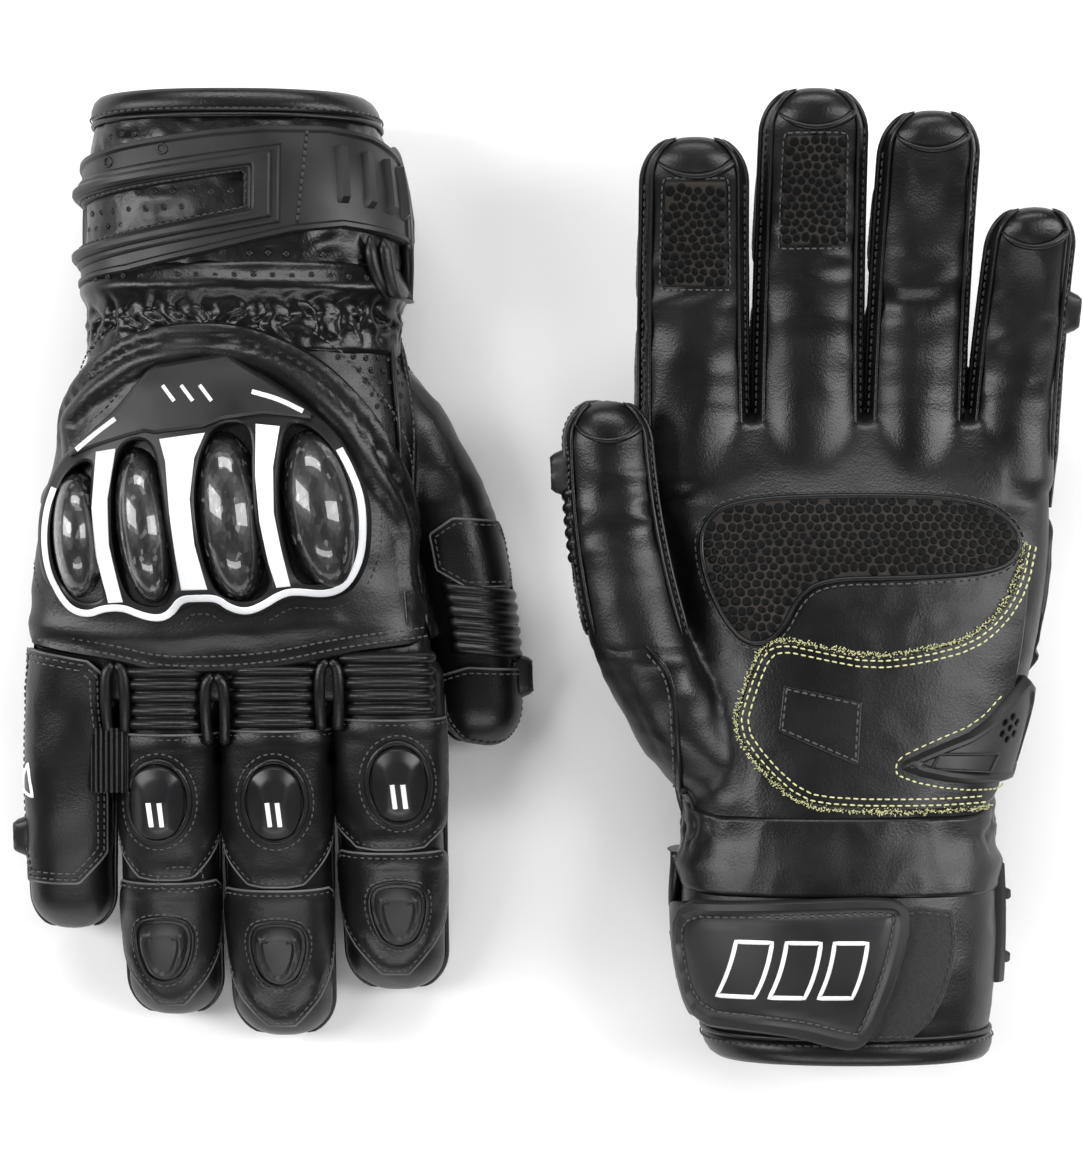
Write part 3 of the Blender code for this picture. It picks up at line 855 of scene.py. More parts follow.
# each look: its material, and the name of a slot
LOOKS = {
    "leather": (leather("leather", BLACK, 0.37, 0.31, 0.44, specular=0.37), "leather"),
    "leather_soft": (leather("leather_crinkled", SOFT_BLACK, 0.32, 0.25, 0.38, 0.15, 0.25, 0.34), "leather"),
    # panel rims in a lighter grey: painted highlight on their edges
    "leather_rim_highlight": (leather("leather_rim_painted_highlight", RIM_HIGHLIGHT_GREY, 0.75, 0.65, 0.85, 0.3, 0.8), "leather"),
    "gusset": (leather("gathered_leather", SOFT_BLACK, 0.28, 0.22, 0.34, 0.15, 0.25, 0.34), "elastic"),
    "lining": (thread("lining", (0.02, 0.02, 0.022), 0.9, 1500.0), "elastic"),
    "rubber": (moulded("moulded_rubber", (0.0078, 0.0078, 0.009), 0.46), "rubber"),
    "rubber_dark": (moulded("moulded_rubber_dark", (0.0032, 0.0032, 0.0036), 0.42), "rubber"),
    "white": (moulded("white_insert", (0.82, 0.83, 0.85), 0.42, 700.0, 0.05), "rubber"),
    "carbon": (forged_carbon(), "carbon"),
    "slider": (moulded("polished_plastic", (0.006, 0.006, 0.007), 0.36, 400.0, 0.02), "hard_plastic"),
    "grip": (leather("grip_pebbles", (0.0008, 0.0008, 0.0008), 0.5, 0.45, 0.6, 0.0, 0.3, 0.12), "grip"),
    "grip_base": (leather("grip_leather", (0.019, 0.0165, 0.0145), 0.75, 0.65, 0.85, 0.0, 0.6, 0.2), "grip"),
    "thread": (thread("black_thread", (0.012, 0.012, 0.013), 0.6), "elastic"),
    "thread_grey": (thread("grey_thread", (0.05, 0.05, 0.052), 0.6), "elastic"),
    "yellow": (thread("aramid_thread", (0.7, 0.69, 0.34), 0.7), "elastic"),
    "pile": (fuzz(), "hook_loop"),
    # near-black painted shade: it fills the punched holes, the palm slider's holes and the cuff guard's seam
    # groove
    "dark": (moulded("painted_hole_shade", (0.001, 0.001, 0.001), 0.9), "rubber"),
}

# ---------------------------------------------------------------- skins


def creasing(p, scale, seed):
    """Soft leather folds: values about 0 that run in ridges."""
    x, y, z = p
    value = noise.noise(Vector((x * scale, y * scale, z * scale)) + Vector((seed, seed * 0.7, 0.0)))
    return 1.0 - 2.0 * math.sqrt(value * value + 0.004)


def swells(points, height, stretch, scale, seed):
    """The leather's soft folds over flat points, longer across the piece where stretch is small."""
    return np.array([height * creasing((u * stretch, v, 0.0), scale, seed) for u, v in points])


def voxel_union(works, size):
    """Closed tubes fused to one skin, as points and faces."""
    whole = Work()
    for work in works:
        whole.join(work)
    mesh = bpy.data.meshes.new("union")
    mesh.from_pydata(np.concatenate(whole.points).tolist(), [], whole.faces)
    source = bpy.data.objects.new("union", mesh)
    bpy.context.scene.collection.objects.link(source)
    remesh = source.modifiers.new("Remesh", "REMESH")
    remesh.mode = "VOXEL"
    remesh.voxel_size = size
    soften = source.modifiers.new("Smooth", "SMOOTH")
    soften.factor = 0.6
    soften.iterations = 9
    graph = bpy.context.evaluated_depsgraph_get()
    fused = source.evaluated_get(graph).to_mesh()
    points = np.array([tuple(v.co) for v in fused.vertices])
    normals = np.array([tuple(v.normal) for v in fused.vertices])
    faces = [tuple(face.vertices) for face in fused.polygons]
    bpy.data.objects.remove(source)
    return points, normals, faces


def closed_tube(sleeve, v_range, rows, columns=96):
    """A sleeve's own shape between two places, with flat ends."""
    u = np.arange(columns) / columns * 2.0 - 1.0
    vs = np.linspace(v_range[0], v_range[1], rows)
    points = np.concatenate([sleeve.at(u * sleeve.half_at(v), v) for v in vs])
    return Work().grid(rows, columns, points, closed=True).capped(rows, columns)


CUFF = station_sleeve(CUFF_STATIONS, POWER_HAND)
HAND = station_sleeve(HAND_STATIONS, POWER_HAND)
THENAR = station_sleeve(THENAR_STATIONS, 2.2, 40)
SLEEVES = {name: digit_sleeve(name) for name in DIGITS}


HAND_TUBES = (
    closed_tube(HAND, (-7.0, 104.0), 64, 160),
    closed_tube(THENAR, (8.0, 54.0), 30),
    closed_tube(SLEEVES["thumb"], (47.0, 58.0), 12),
)
HAND_POINTS, HAND_NORMALS, HAND_FACES = voxel_union(HAND_TUBES, 1.3)
PALM = Underside(HAND_POINTS, HAND_FACES)


def hand_folds(p):
    """The hand's folds: deepest where the thumb's base meets the palm, none under the guard."""
    x, y, z = p
    palm = float(smooth(2.0, -10.0, z))
    thumb = float(smooth(-18.0, -34.0, x))
    waist = float(smooth(26.0, 4.0, y))
    size = 0.15 + 0.35 * palm + 0.5 * thumb + 0.4 * waist
    long_folds = creasing((x * 0.6, y * 1.5, z * 0.6), 0.05, 3.0)
    short_folds = creasing((x, y, z), 0.11, 8.0)
    level_end = float(smooth(100.0, 88.0, y))
    return level_end * size * (0.6 * long_folds + 0.4 * short_folds - 0.55)


def add_hand_skin():
    lifts = np.array([hand_folds(p) for p in HAND_POINTS])
    skin = Work().add(HAND_POINTS + HAND_NORMALS * lifts[:, None], HAND_FACES)
    emit("hand_leather", skin, "leather", "hand", ("palm_shell", "back_shell"))
    return skin


def digit_folds(digit, spot, share):
    """Wrinkles of a digit at a point. share is 0 on its back and 1 in the middle of its palm side."""
    x, y, z = spot
    palm = float(smooth(0.45, 0.8, share))
    near = math.exp(-(((y - MIDDLE_HINGE[digit]) / 12.0) ** 2))
    across = creasing((x * 0.35, y, z * 0.35), 0.12, 5.0 + len(digit))
    loose = creasing((x, y * 0.7, z), 0.07, 11.0 + len(digit))
    return (palm * (0.2 + 0.45 * near) + 0.2 * near) * (across - 0.6) + 0.45 * (loose - 0.6)


# how deep a digit's root is tucked into the hand
BURIED = {"index": 3.6, "middle": 1.6, "ring": 1.6, "pinky": 2.4, "thumb": 3.6}


def add_digit_skin(digit):
    sleeve = SLEEVES[digit]
    root, last = DIGITS[digit][0][0], sleeve.v[-1]
    first = root - 11.0
    rows = int((last - first) / 0.95)
    columns = 104
    fraction = np.arange(columns) / columns * 2.0 - 1.0
    points = []
    for v in np.linspace(first, last, rows):
        half = float(sleeve.half_at(v))
        bare = sleeve.at(fraction * half, v)
        lifts = [digit_folds(digit, spot, abs(f)) for f, spot in zip(fraction, bare)]
        fade = float(smooth(last, last - 12.0, v) * smooth(root, root + 14.0, v))
        buried = -BURIED[digit] * float(smooth(root + (2.0 if digit == "thumb" else -1.0), root - 9.0, v))
        points.append(sleeve.at(fraction * half, v, np.array(lifts) * fade + buried))
    work = Work().grid(rows, columns, np.concatenate(points), closed=True)
    tip = np.mean(points[-1], axis=0)
    crown = work.count
    work.add([tip + (0.0, 0.25, 0.0)], [])
    start = (rows - 1) * columns
    work.faces.extend((start + c, start + (c + 1) % columns, crown) for c in range(columns))
    emit_digit(f"{digit}_leather", digit, work, "leather", ((f"{digit}_proximal",), (f"{digit}_distal",)))
    return work


# ---------------------------------------------------------------- guard over the knuckles


def hand_top(points):
    """The height of the hand's back over x, y points."""
    out = np.empty(len(points))
    for i, (x, y) in enumerate(points):
        middle, half_width, half_thickness = eased(HAND_STATIONS, y)
        across = min(1.0, abs(x - middle) / half_width)
        out[i] = half_thickness * (1.0 - across**POWER_HAND) ** (1.0 / POWER_HAND)
    return out


GUARD_EDGE = (
    (53.8, 36.2), (47.0, 30.6), (40.3, 25.0), (31.8, 14.4), (29.4, 12.6), (9.8, 9.6), (6.6, 11.6),
    (-1.0, 16.6), (-12.8, 25.4), (-19.8, 32.4), (-24.2, 40.6), (-27.2, 48.1), (-27.9, 56.6), (-27.0, 66.0),
    (-22.8, 74.0), (-16.2, 76.8), (-8.2, 75.8), (-4.2, 76.6), (0.8, 80.0), (5.7, 81.6), (11.2, 80.4),
    (14.2, 77.7), (22.0, 77.7), (24.6, 81.4), (29.4, 83.4), (34.8, 82.3), (39.6, 80.2), (44.2, 80.4),
    (49.2, 82.4), (55.2, 80.6), (59.4, 75.4), (62.2, 69.2), (62.9, 60.2), (61.9, 51.0), (59.4, 44.6),
    (56.8, 39.6),
)
WHITE_LINE = (
    (57.4, 46.0), (59.6, 51.7), (60.7, 60.2), (59.8, 68.7), (57.3, 74.2), (53.7, 78.8), (48.8, 80.2),
    (44.6, 78.5), (39.1, 78.2), (34.2, 80.3), (29.4, 81.3), (25.9, 79.7), (23.1, 75.9), (18.0, 75.7),
    (13.2, 75.7), (10.0, 78.3), (5.7, 79.4), (1.5, 77.9), (-3.6, 74.7), (-7.3, 73.8), (-16.0, 74.8),
    (-21.4, 72.2), (-25.1, 65.1), (-25.9, 56.6), (-25.2, 48.1), (-22.3, 40.8), (-19.6, 35.8),
)
WINDOWS = (
    ((46.9, 38.6), (52.5, 40.5), (56.2, 46.0), (58.2, 53.5), (58.7, 60.2), (57.8, 67.5), (55.2, 73.2),
     (51.5, 76.6), (46.5, 76.9), (43.9, 75.0), (44.9, 66.0), (46.8, 58.0), (47.3, 50.0), (46.6, 42.0)),
    ((38.5, 35.5), (40.6, 42.0), (41.0, 50.0), (40.9, 60.0), (39.6, 69.0), (37.3, 75.6), (33.5, 77.6),
     (28.5, 78.0), (25.6, 75.4), (24.4, 71.0), (25.4, 64.0), (26.8, 54.0), (27.8, 44.0), (29.2, 37.0),
     (31.5, 33.8), (35.5, 33.4)),
    ((13.5, 30.3), (16.4, 36.0), (18.0, 43.0), (18.4, 50.0), (17.4, 60.0), (15.7, 68.0), (13.4, 74.0),
     (9.5, 76.2), (4.5, 76.6), (0.4, 74.6), (-1.2, 71.0), (0.6, 65.0), (2.6, 56.0), (3.4, 44.0),
     (3.3, 31.0), (7.5, 28.7)),
    ((-5.5, 30.0), (-3.7, 41.0), (-3.9, 53.0), (-5.7, 63.0), (-7.9, 71.2), (-13.5, 72.2), (-19.0, 70.2),
     (-22.6, 64.8), (-23.6, 56.0), (-22.8, 47.0), (-19.5, 38.5), (-14.5, 31.8), (-9.5, 29.0)),
)
BARS = (
    ((45.3, 36.6), (46.5, 51.7), (45.6, 64.5), (42.9, 77.0), (38.9, 76.8), (41.8, 61.5), (42.0, 49.3),
     (39.8, 35.8)),
    ((27.9, 33.4), (26.2, 39.4), (25.1, 53.0), (23.7, 65.1), (22.6, 73.6), (15.6, 73.4), (18.5, 61.5),
     (19.6, 49.3), (18.4, 38.4), (15.6, 31.8)),
    ((2.2, 29.4), (2.3, 43.2), (1.2, 55.4), (-0.9, 66.3), (-2.8, 72.9), (-6.5, 72.5), (-4.4, 62.7),
     (-2.6, 53.0), (-2.4, 40.8), (-4.1, 30.0)),
)
CREST = (
    (53.4, 36.6), (47.0, 31.4), (40.3, 25.8), (31.8, 15.2), (29.2, 13.5), (9.9, 10.5), (7.0, 12.6),
    (-1.0, 17.5), (-9.0, 23.4), (-13.4, 26.8), (-12.4, 28.2), (0.2, 27.0), (11.0, 28.6), (16.0, 30.6),
    (29.4, 32.2), (32.0, 31.7), (37.0, 33.0), (45.8, 35.6), (52.6, 37.8),
)
STRIPES = (((39.9, 27.9), (45.6, 31.9), (50.8, 36.0)), ((3.2, 20.9), (-3.8, 22.8), (-10.2, 26.0)))
# x, y, half width, half length, top, lean of the middle line
DOMES = (
    (51.0, 58.2, 7.5, 18.6, 28.6, -0.6),
    (32.6, 55.8, 8.2, 21.8, 34.0, -2.1),
    (9.6, 53.0, 9.6, 24.0, 35.4, -2.2),
    (-14.0, 51.4, 10.2, 22.4, 34.6, -3.0),
)


def guard_shape(points):
    """The guard's top: a shell that is arched both ways and rolls down at its edge."""
    x, y = points[:, 0], points[:, 1]
    towards_wrist = np.maximum(0.0, 50.0 - y) / 38.0
    towards_fingers = np.maximum(0.0, y - 50.0) / 29.0
    shell = 32.6 - 13.5 * ((x - 11.0) / 51.0) ** 2 - 3.2 * towards_wrist**2 - 9.5 * towards_fingers**2
    return np.maximum(shell, hand_top(points) + 2.4)


GUARD_LOOP = curved(GUARD_EDGE, True, 1.1, 2)


def guard_top(points):
    """The guard's top, rolled down within 5 mm of its edge."""
    rim = distance_to(points, GUARD_LOOP, True)
    return guard_shape(points) - 1.6 * (1.0 - smooth(0.0, 5.0, rim))


def ribbon(line, width, height, base, closed=False):
    """A flat-topped strip along a line, on a height that base(points) gives."""
    line = np.array(line, float)
    left = sideways(line, closed)
    bevel = 0.25
    profile = ((-0.5, -0.8), (-0.5, height - bevel), (-0.5 + bevel / width, height), (0.0, height + 0.05),
               (0.5 - bevel / width, height), (0.5, height - bevel), (0.5, -0.8))
    points = []
    for across, rise in profile:
        moved = line + left * (across * width)
        points.append(np.column_stack([moved, base(moved) + rise]))
    points = np.stack(points, 1)
    if closed:
        return Work().grid(len(line) + 1, len(profile), np.concatenate([points, points[:1]])).turned()
    return Work().grid(len(line), len(profile), points).capped(len(line), len(profile)).turned()


def dome(x, y, half_width, half_length, top, lean):
    """One carbon knuckle: a long rounded mound whose middle line leans."""
    rings, sides, tall = 22, 56, 15.0
    points = []
    for r in range(rings + 1):
        reach = math.sin(r / rings * math.pi / 2.0)
        rise = (1.0 - reach**2.3) ** 0.5 if reach < 1.0 else 0.0
        for k in range(sides):
            angle = 2.0 * math.pi * k / sides
            along = reach * math.sin(angle)
            across = reach * math.copysign(abs(math.cos(angle)) ** 0.9, math.cos(angle))
            fall = 2.6 * max(0.0, along) ** 2 + 1.2 * max(0.0, -along) ** 2
            points.append((x + half_width * across + lean * along, y + half_length * along,
                           top - tall + tall * rise - fall))
    work = Work().grid(rings + 1, sides, points, closed=True)
    work.faces.append(tuple(range(sides))[::-1])
    return work


def add_guard():
    """The knuckle guard: frame, crest, carbon domes, white bars and outline."""
    holes = [curved(window, True, 1.0, 2) for window in WINDOWS]
    body = plate(GUARD_LOOP, guard_top, holes, 2.0, ((0.0, 1.1), (0.3, 0.35), (0.9, 0.0)), 12.0)
    emit("guard_frame", body.wrapped(PLAN), "rubber_dark", "hand", ("knuckle_guard",), 40)

    def crest_top(points):
        crown = 0.025 * np.abs(points[:, 0] - 14.0)
        fall = 0.5 * smooth(20.0, 12.0, points[:, 1])
        return guard_shape(points) + 1.7 - crown - fall

    crest_loop = resampled(CREST, 1.1, True)
    crest = plate(crest_loop, crest_top, (), 2.2, ((0.0, 1.5), (0.35, 0.5), (1.1, 0.0)), 20.0)
    emit("guard_crest", crest.wrapped(PLAN), "rubber", "hand", (), 35)

    carbon = Work()
    for values in DOMES:
        carbon.join(dome(*values))
    emit("carbon_domes", carbon.wrapped(PLAN), "carbon", "hand", ("carbon_knuckles",))

    def bar_top(points):
        return guard_shape(points) + 0.55

    white = Work()
    for bar in BARS:
        loop = resampled(bar, 1.0, True)
        white.join(plate(loop, bar_top, (), 1.6, ((0.0, 0.3), (0.15, 0.1), (0.4, 0.0)), 18.0))
    white.join(ribbon(curved(WHITE_LINE, False, 0.9, 2), 1.9, 0.5, guard_top))
    for stripe in STRIPES:
        white.join(ribbon(curved(stripe, False, 1.0, 2), 1.3, 0.35, crest_top))
    for k in range(3):
        x = 27.0 - 5.0 * k
        white.join(ribbon(resampled(((x, 19.2), (x - 3.2, 23.4)), 1.0, False), 1.0, 0.3, crest_top))
    emit("guard_inserts", white.wrapped(PLAN), "white", "hand", (), 40)


# ---------------------------------------------------------------- back of the hand

ARCH = (
    (58.6, 40.0), (56.4, 27.0), (50.2, 15.0), (40.0, 6.2), (28.0, 2.4), (12.5, 1.4), (-1.4, 4.4),
    (-16.0, 12.4), (-26.6, 23.6), (-33.4, 36.0), (-37.4, 52.0), (-39.2, 70.0),
)
BACK_HEM = ((-41.6, 88.4), (-28.0, 89.6), (-16.0, 91.4), (-5.0, 93.8), (8.0, 95.2), (20.0, 95.6),
            (31.0, 95.2), (42.0, 92.4), (54.0, 90.6), (64.0, 88.6))


def bulge(distance, middle, half, height):
    """A roll of leather across a distance."""
    return height * np.sqrt(np.maximum(0.0, 1.0 - ((distance - middle) / half) ** 2))


def add_back_panel():
    """The leather round the guard, with two rolls along its arched seam and a sewn hem at the fingers."""
    arch = HAND.seen(ARCH)
    hem = HAND.seen(BACK_HEM)
    side = [(HAND.arc(90.0, y) + 3.0, y) for y in (84.0, 68.0, 54.0)]
    line = curved(arch, False, 1.2, 2)
    outline = curved(arch + hem + side, True, 1.2, 2)
    hem_line = curved(hem, False, 1.0, 2)
    wavy = np.array([(-30.0, 82.0), (-8.0, 84.5), (14.0, 86.0), (36.0, 86.0), (56.0, 82.0)])

    def top(points):
        away = distance_to(points, line, False)
        to_ends = np.min([np.hypot(*(points - end).T) for end in (line[0], line[-1])], axis=0)
        rolls = (bulge(away, 2.4, 2.3, 2.1) + bulge(away, 8.2, 3.1, 2.2)) * smooth(2.0, 14.0, to_ends)
        swell = swells(points, 0.35, 0.5, 0.1, 21.0)
        low_fold = 0.7 * np.exp(-(distance_to(points, wavy, False) / 2.5) ** 2)
        hem_roll = 1.0 * np.exp(-((distance_to(points, hem_line, False) - 0.6) / 1.5) ** 2)
        return 0.9 + rolls + swell + low_fold + hem_roll

    guides = [inset_line(line, d) for d in (0.7, 2.3, 4.2, 4.7, 5.4, 8.2, 10.9, 11.4)]
    guides += [inset_line(hem_line, -1.6), inset_line(hem_line, -3.2)]
    panel = plate(outline, top, (), 1.7, ((0.0, 0.8), (0.3, 0.25), (0.9, 0.0)), -0.8, guides)
    emit("back_panel", panel.wrapped(HAND), "leather", "hand")
    seams = stitches(inset_line(line, 4.9)[8:-8], *HEM_ROW, 0.9)
    for distance, lift in ((-2.1, 1.7), (-4.4, 1.25)):
        seams.join(stitches(inset_line(hem_line, distance), *HEM_ROW, lift))
    emit("back_stitching", seams.wrapped(HAND), "thread_grey", "hand")
    around = inset(ring_of(GUARD_LOOP), -2.0)
    covered = (around[:, 0] < 55.0) | (around[:, 1] > 58.0)
    tread = stitches(np.array(HAND.seen(open_run(around, covered))), 2.0, 1.3, 0.42, 1.0)
    emit("guard_stitching", tread.wrapped(HAND), "thread", "hand")


def inset_line(line, distance):
    """An open line moved to its left."""
    return np.array(line, float) + sideways(np.array(line, float), False) * distance


def add_back_perforations():
    thumb_side = HAND.seen(((-1.0, 1.0), (-15.0, 8.6), (-25.0, 19.0), (-32.6, 33.0), (-36.5, 36.0),
                            (-37.5, 18.0), (-35.5, 4.0), (-20.0, 1.0)))
    lips, hole_shades = holes_grid(thumb_side, 4.1, 1.2, 0.1, 0.3)
    emit("hand_holes", lips.wrapped(HAND), "leather_soft", "hand")
    # near-black discs in the holes: painted shade
    emit("hand_hole_painted_shade", hole_shades.wrapped(HAND), "dark", "hand")


def add_side_seams():
    """Piping and folded seams down the thumb side of the hand."""
    runs = (
        (((-34.6, 4.0), (-36.8, 22.0), (-38.2, 44.0), (-39.0, 66.0), (-41.6, 84.0)), -0.5, 1.2),
        (((-33.0, 6.0), (-34.6, 22.0), (-35.8, 44.0), (-36.6, 66.0), (-38.6, 86.0)), 2.2, 0.8),
    )
    welts = Work()
    for line, shift, radius in runs:
        path = [(u + shift, v) for u, v in HAND.seen(line)]
        welts.join(rope(curved(path, False, 1.4, 2), radius, 0.6, taper=6.0))
    emit("side_welts", welts.wrapped(HAND), "leather", "hand")
    path = [(u + 0.9, v) for u, v in HAND.seen(runs[0][0])]
    row = stitches(curved(path, False, 1.4, 2), *SEAM_ROW, 0.9)
    emit("side_stitching", row.wrapped(HAND), "thread_grey", "hand")


# ---------------------------------------------------------------- wrist and cuff


def gathers(u, v):
    """The wrist's leather: a smooth roll on the cuff's side, then crumpled puckers over elastic."""
    roll = 2.0 * math.exp(-(((v + 8.0) / 3.4) ** 2))
    pucker = math.exp(-(((v - 1.0) / 4.6) ** 2))
    sway = noise.noise(Vector((u * 0.09, v * 0.2, 2.0)))
    crumple = creasing((u * 0.8, v * 1.1, 0.0), 0.17, 31.0) + 0.45 * creasing((u, v, 5.0), 0.36, 37.0)
    comb = abs(math.sin(u * 0.45 + 2.4 * sway)) ** 0.55
    return roll + pucker * (0.7 * crumple + 2.1 * comb - 1.5) + 0.4 * sway


def parted(work, test):
    """The faces whose middles pass a test, and the others, as two pieces."""
    points = np.concatenate(work.points)
    groups = ([], [])
    for face in work.faces:
        groups[0 if test(points[list(face)].mean(axis=0)) else 1].append(face)
    return [subset(points, faces) for faces in groups]


def sleeve_skin(sleeve, v_range, step, columns, lift):
    """A closed strip of a sleeve, with lift(u, v) of relief."""
    rows = max(3, int(round((v_range[1] - v_range[0]) / step)) + 1)
    fraction = np.arange(columns) / columns * 2.0 - 1.0
    points = []
    for v in np.linspace(v_range[0], v_range[1], rows):
        half = float(sleeve.half_at(v))
        points.append(sleeve.at(fraction * half, v, np.array([lift(f * half, v) for f in fraction])))
    return Work().grid(rows, columns, np.concatenate(points), closed=True)


WRIST_STATIONS = (
    (-18.0, 8.0, 43.0, 29.0),
    (-8.0, 8.0, 42.6, 28.2),
    (0.0, 8.0, 41.6, 27.0),
    (7.0, 8.1, 42.3, 26.6),
    (13.0, 8.4, 43.8, 26.0),
)
WRIST = station_sleeve(WRIST_STATIONS, POWER_HAND, 60)


def add_wrist():
    """The gathered gusset over the wrist, plain on the palm side, with two rows of holes."""

    def lift(u, v):
        half = float(WRIST.half_at(v))
        back = float(smooth(0.72, 0.5, abs(u) / half))
        last = 5.6 + 5.4 * back
        ends = float(smooth(-16.5, -15.0 + 2.0 * back, v) * smooth(last + 1.0, last - 0.4 - 2.0 * back, v))
        palm = 0.5 + 0.35 * creasing((half - abs(u), v * 0.5, 0.0), 0.1, 41.0)
        return (1.0 - ends) * -1.8 + ends * (0.5 + back * gathers(u, v) + (1.0 - back) * palm)

    skin = sleeve_skin(WRIST, (-16.5, 12.5), 0.62, 330, lift)
    back, palm = parted(skin, lambda middle: middle[2] > -3.0)
    emit("wrist_gathers", back, "gusset", "wrist", ("wrist_gusset",))
    emit("wrist_palm", palm, "leather", "wrist")
    rows = Work(), Work()
    for v, shift in ((-10.4, 0.0), (-7.2, 2.5)):
        for k in range(-8, 9):
            add_hole(*rows, (5.0 * k + shift, v + 0.3 * math.sin(k * 1.7)), 2.0)
    emit("wrist_holes", rows[0].wrapped(WRIST), "leather_soft", "wrist")
    # near-black discs in the holes: painted shade
    emit("wrist_hole_painted_shade", rows[1].wrapped(WRIST), "dark", "wrist")


def cuff_folds(u, v):
    """The cuff's folds: crumpled on the back, and nearly plain on the palm side."""
    half = float(CUFF.half_at(v))
    back = float(smooth(0.6, 0.45, abs(u) / half))
    side = half - abs(u)
    wide = creasing((u * 0.5, v, 0.0), 0.12, 51.0)
    fine = creasing((u, v * 0.8, 3.0), 0.2, 57.0)
    plain = creasing((side * 0.6, v, 9.0), 0.09, 59.0)
    return back * (0.6 * wide + 0.3 * fine - 0.4) + (1.0 - back) * (0.35 * plain - 0.15)


def swept_ring(sleeve, profile, columns=200):
    """A (v, lift) profile carried all the way round a sleeve."""
    fraction = np.arange(columns) / columns * 2.0 - 1.0
    points = [sleeve.at(fraction * float(sleeve.half_at(v)), v, lift) for v, lift in profile]
    return Work().grid(len(profile), columns, np.concatenate(points), closed=True).turned()


def add_cuff_shell():
    """The cuff's leather, its rolled and piped edge, and the lining that shows in its mouth."""
    skin = sleeve_skin(CUFF, (CUFF_END + 1.0, -7.0), 1.0, 250, cuff_folds)
    back, palm = parted(skin, lambda middle: middle[2] > -3.0)
    emit("cuff_leather", back, "leather_soft", "cuff", ("cuff_shell",))
    emit("cuff_palm_leather", palm, "leather", "cuff")
    binding = ((-53.4, -0.3), (-53.8, 0.9), (-54.8, 1.7), (-56.6, 2.0), (-58.4, 1.8), (-59.8, 1.0),
               (-60.2, 0.0), (-60.2, -1.2), (-59.6, -2.2), (-57.5, -2.6), (-55.0, -2.8))
    emit("cuff_binding", swept_ring(CUFF, binding), "leather", "cuff")
    lining = ((-58.0, -2.4), (-52.0, -2.6), (-40.0, -2.8), (-20.0, -3.0), (-9.0, -3.4), (-8.0, -8.0),
              (-7.6, -24.0))
    emit("cuff_lining", swept_ring(CUFF, lining, 120), "lining", "cuff")
    around = [(f * float(CUFF.half_at(-52.8)), -52.8) for f in np.linspace(-1.0, 1.0, 161)]
    emit("cuff_piping", rope(around, 0.75, 0.6).wrapped(CUFF), "leather", "cuff")
    row = stitches([(u, v - 1.5) for u, v in around], *PATCH_ROW, 1.75)
    emit("cuff_binding_stitching", row.wrapped(CUFF), "thread", "cuff")


CUFF_GUARD_EDGE = (
    (52.0, -40.5), (36.8, -45.8), (14.0, -48.8), (0.3, -49.9), (-16.0, -50.0), (-26.0, -48.4),
    (-36.0, -42.0), (-37.6, -30.0), (-38.0, -19.6), (-30.0, -21.8), (-19.9, -23.1), (-7.8, -21.5),
    (16.5, -15.9), (36.0, -11.6), (52.0, -7.6),
)
CUFF_WINDOW = ((52.0, -31.0), (5.4, -37.4), (5.6, -28.4), (52.0, -19.6))


def crossing(a, b, c, d):
    """Where line a b meets line c d."""
    (ax, ay), (bx, by), (cx, cy), (dx, dy) = a, b, c, d
    turn = (bx - ax) * (dy - cy) - (by - ay) * (dx - cx)
    t = ((cx - ax) * (dy - cy) - (cy - ay) * (dx - cx)) / turn
    return ax + (bx - ax) * t, ay + (by - ay) * t


def window_rim(sides, end):
    """The cuff window's top and bottom edges moved out by sides, and its end edge by end, as four points."""
    top = [(x, y - sides) for x, y in CUFF_WINDOW[:2]]
    bottom = [(x, y + sides) for x, y in CUFF_WINDOW[2:]]
    last = [(CUFF_WINDOW[1][0] - end, -45.0), (CUFF_WINDOW[2][0] - end, -20.0)]
    return top[0], crossing(*top, *last), crossing(*bottom, *last), bottom[1]


def around_edge(points, extra):
    """Points seen on the cuff, with those at x = 52 carried on round its side."""
    reach = float(CUFF.arc(90.0, -30.0)) + extra
    return [(reach if x >= 52.0 else CUFF.arc(x, y), y) for x, y in points]


def window_band(inner, outer):
    """A U round the cuff's window, between two (sides, end) offsets."""
    outside, within = window_rim(*outer), window_rim(*inner)
    rails = [*resampled(outside, 3.0, False), *resampled(within, 3.0, False)[::-1]]
    return resampled(around_edge([tuple(p) for p in rails], 4.0), 1.1, True)


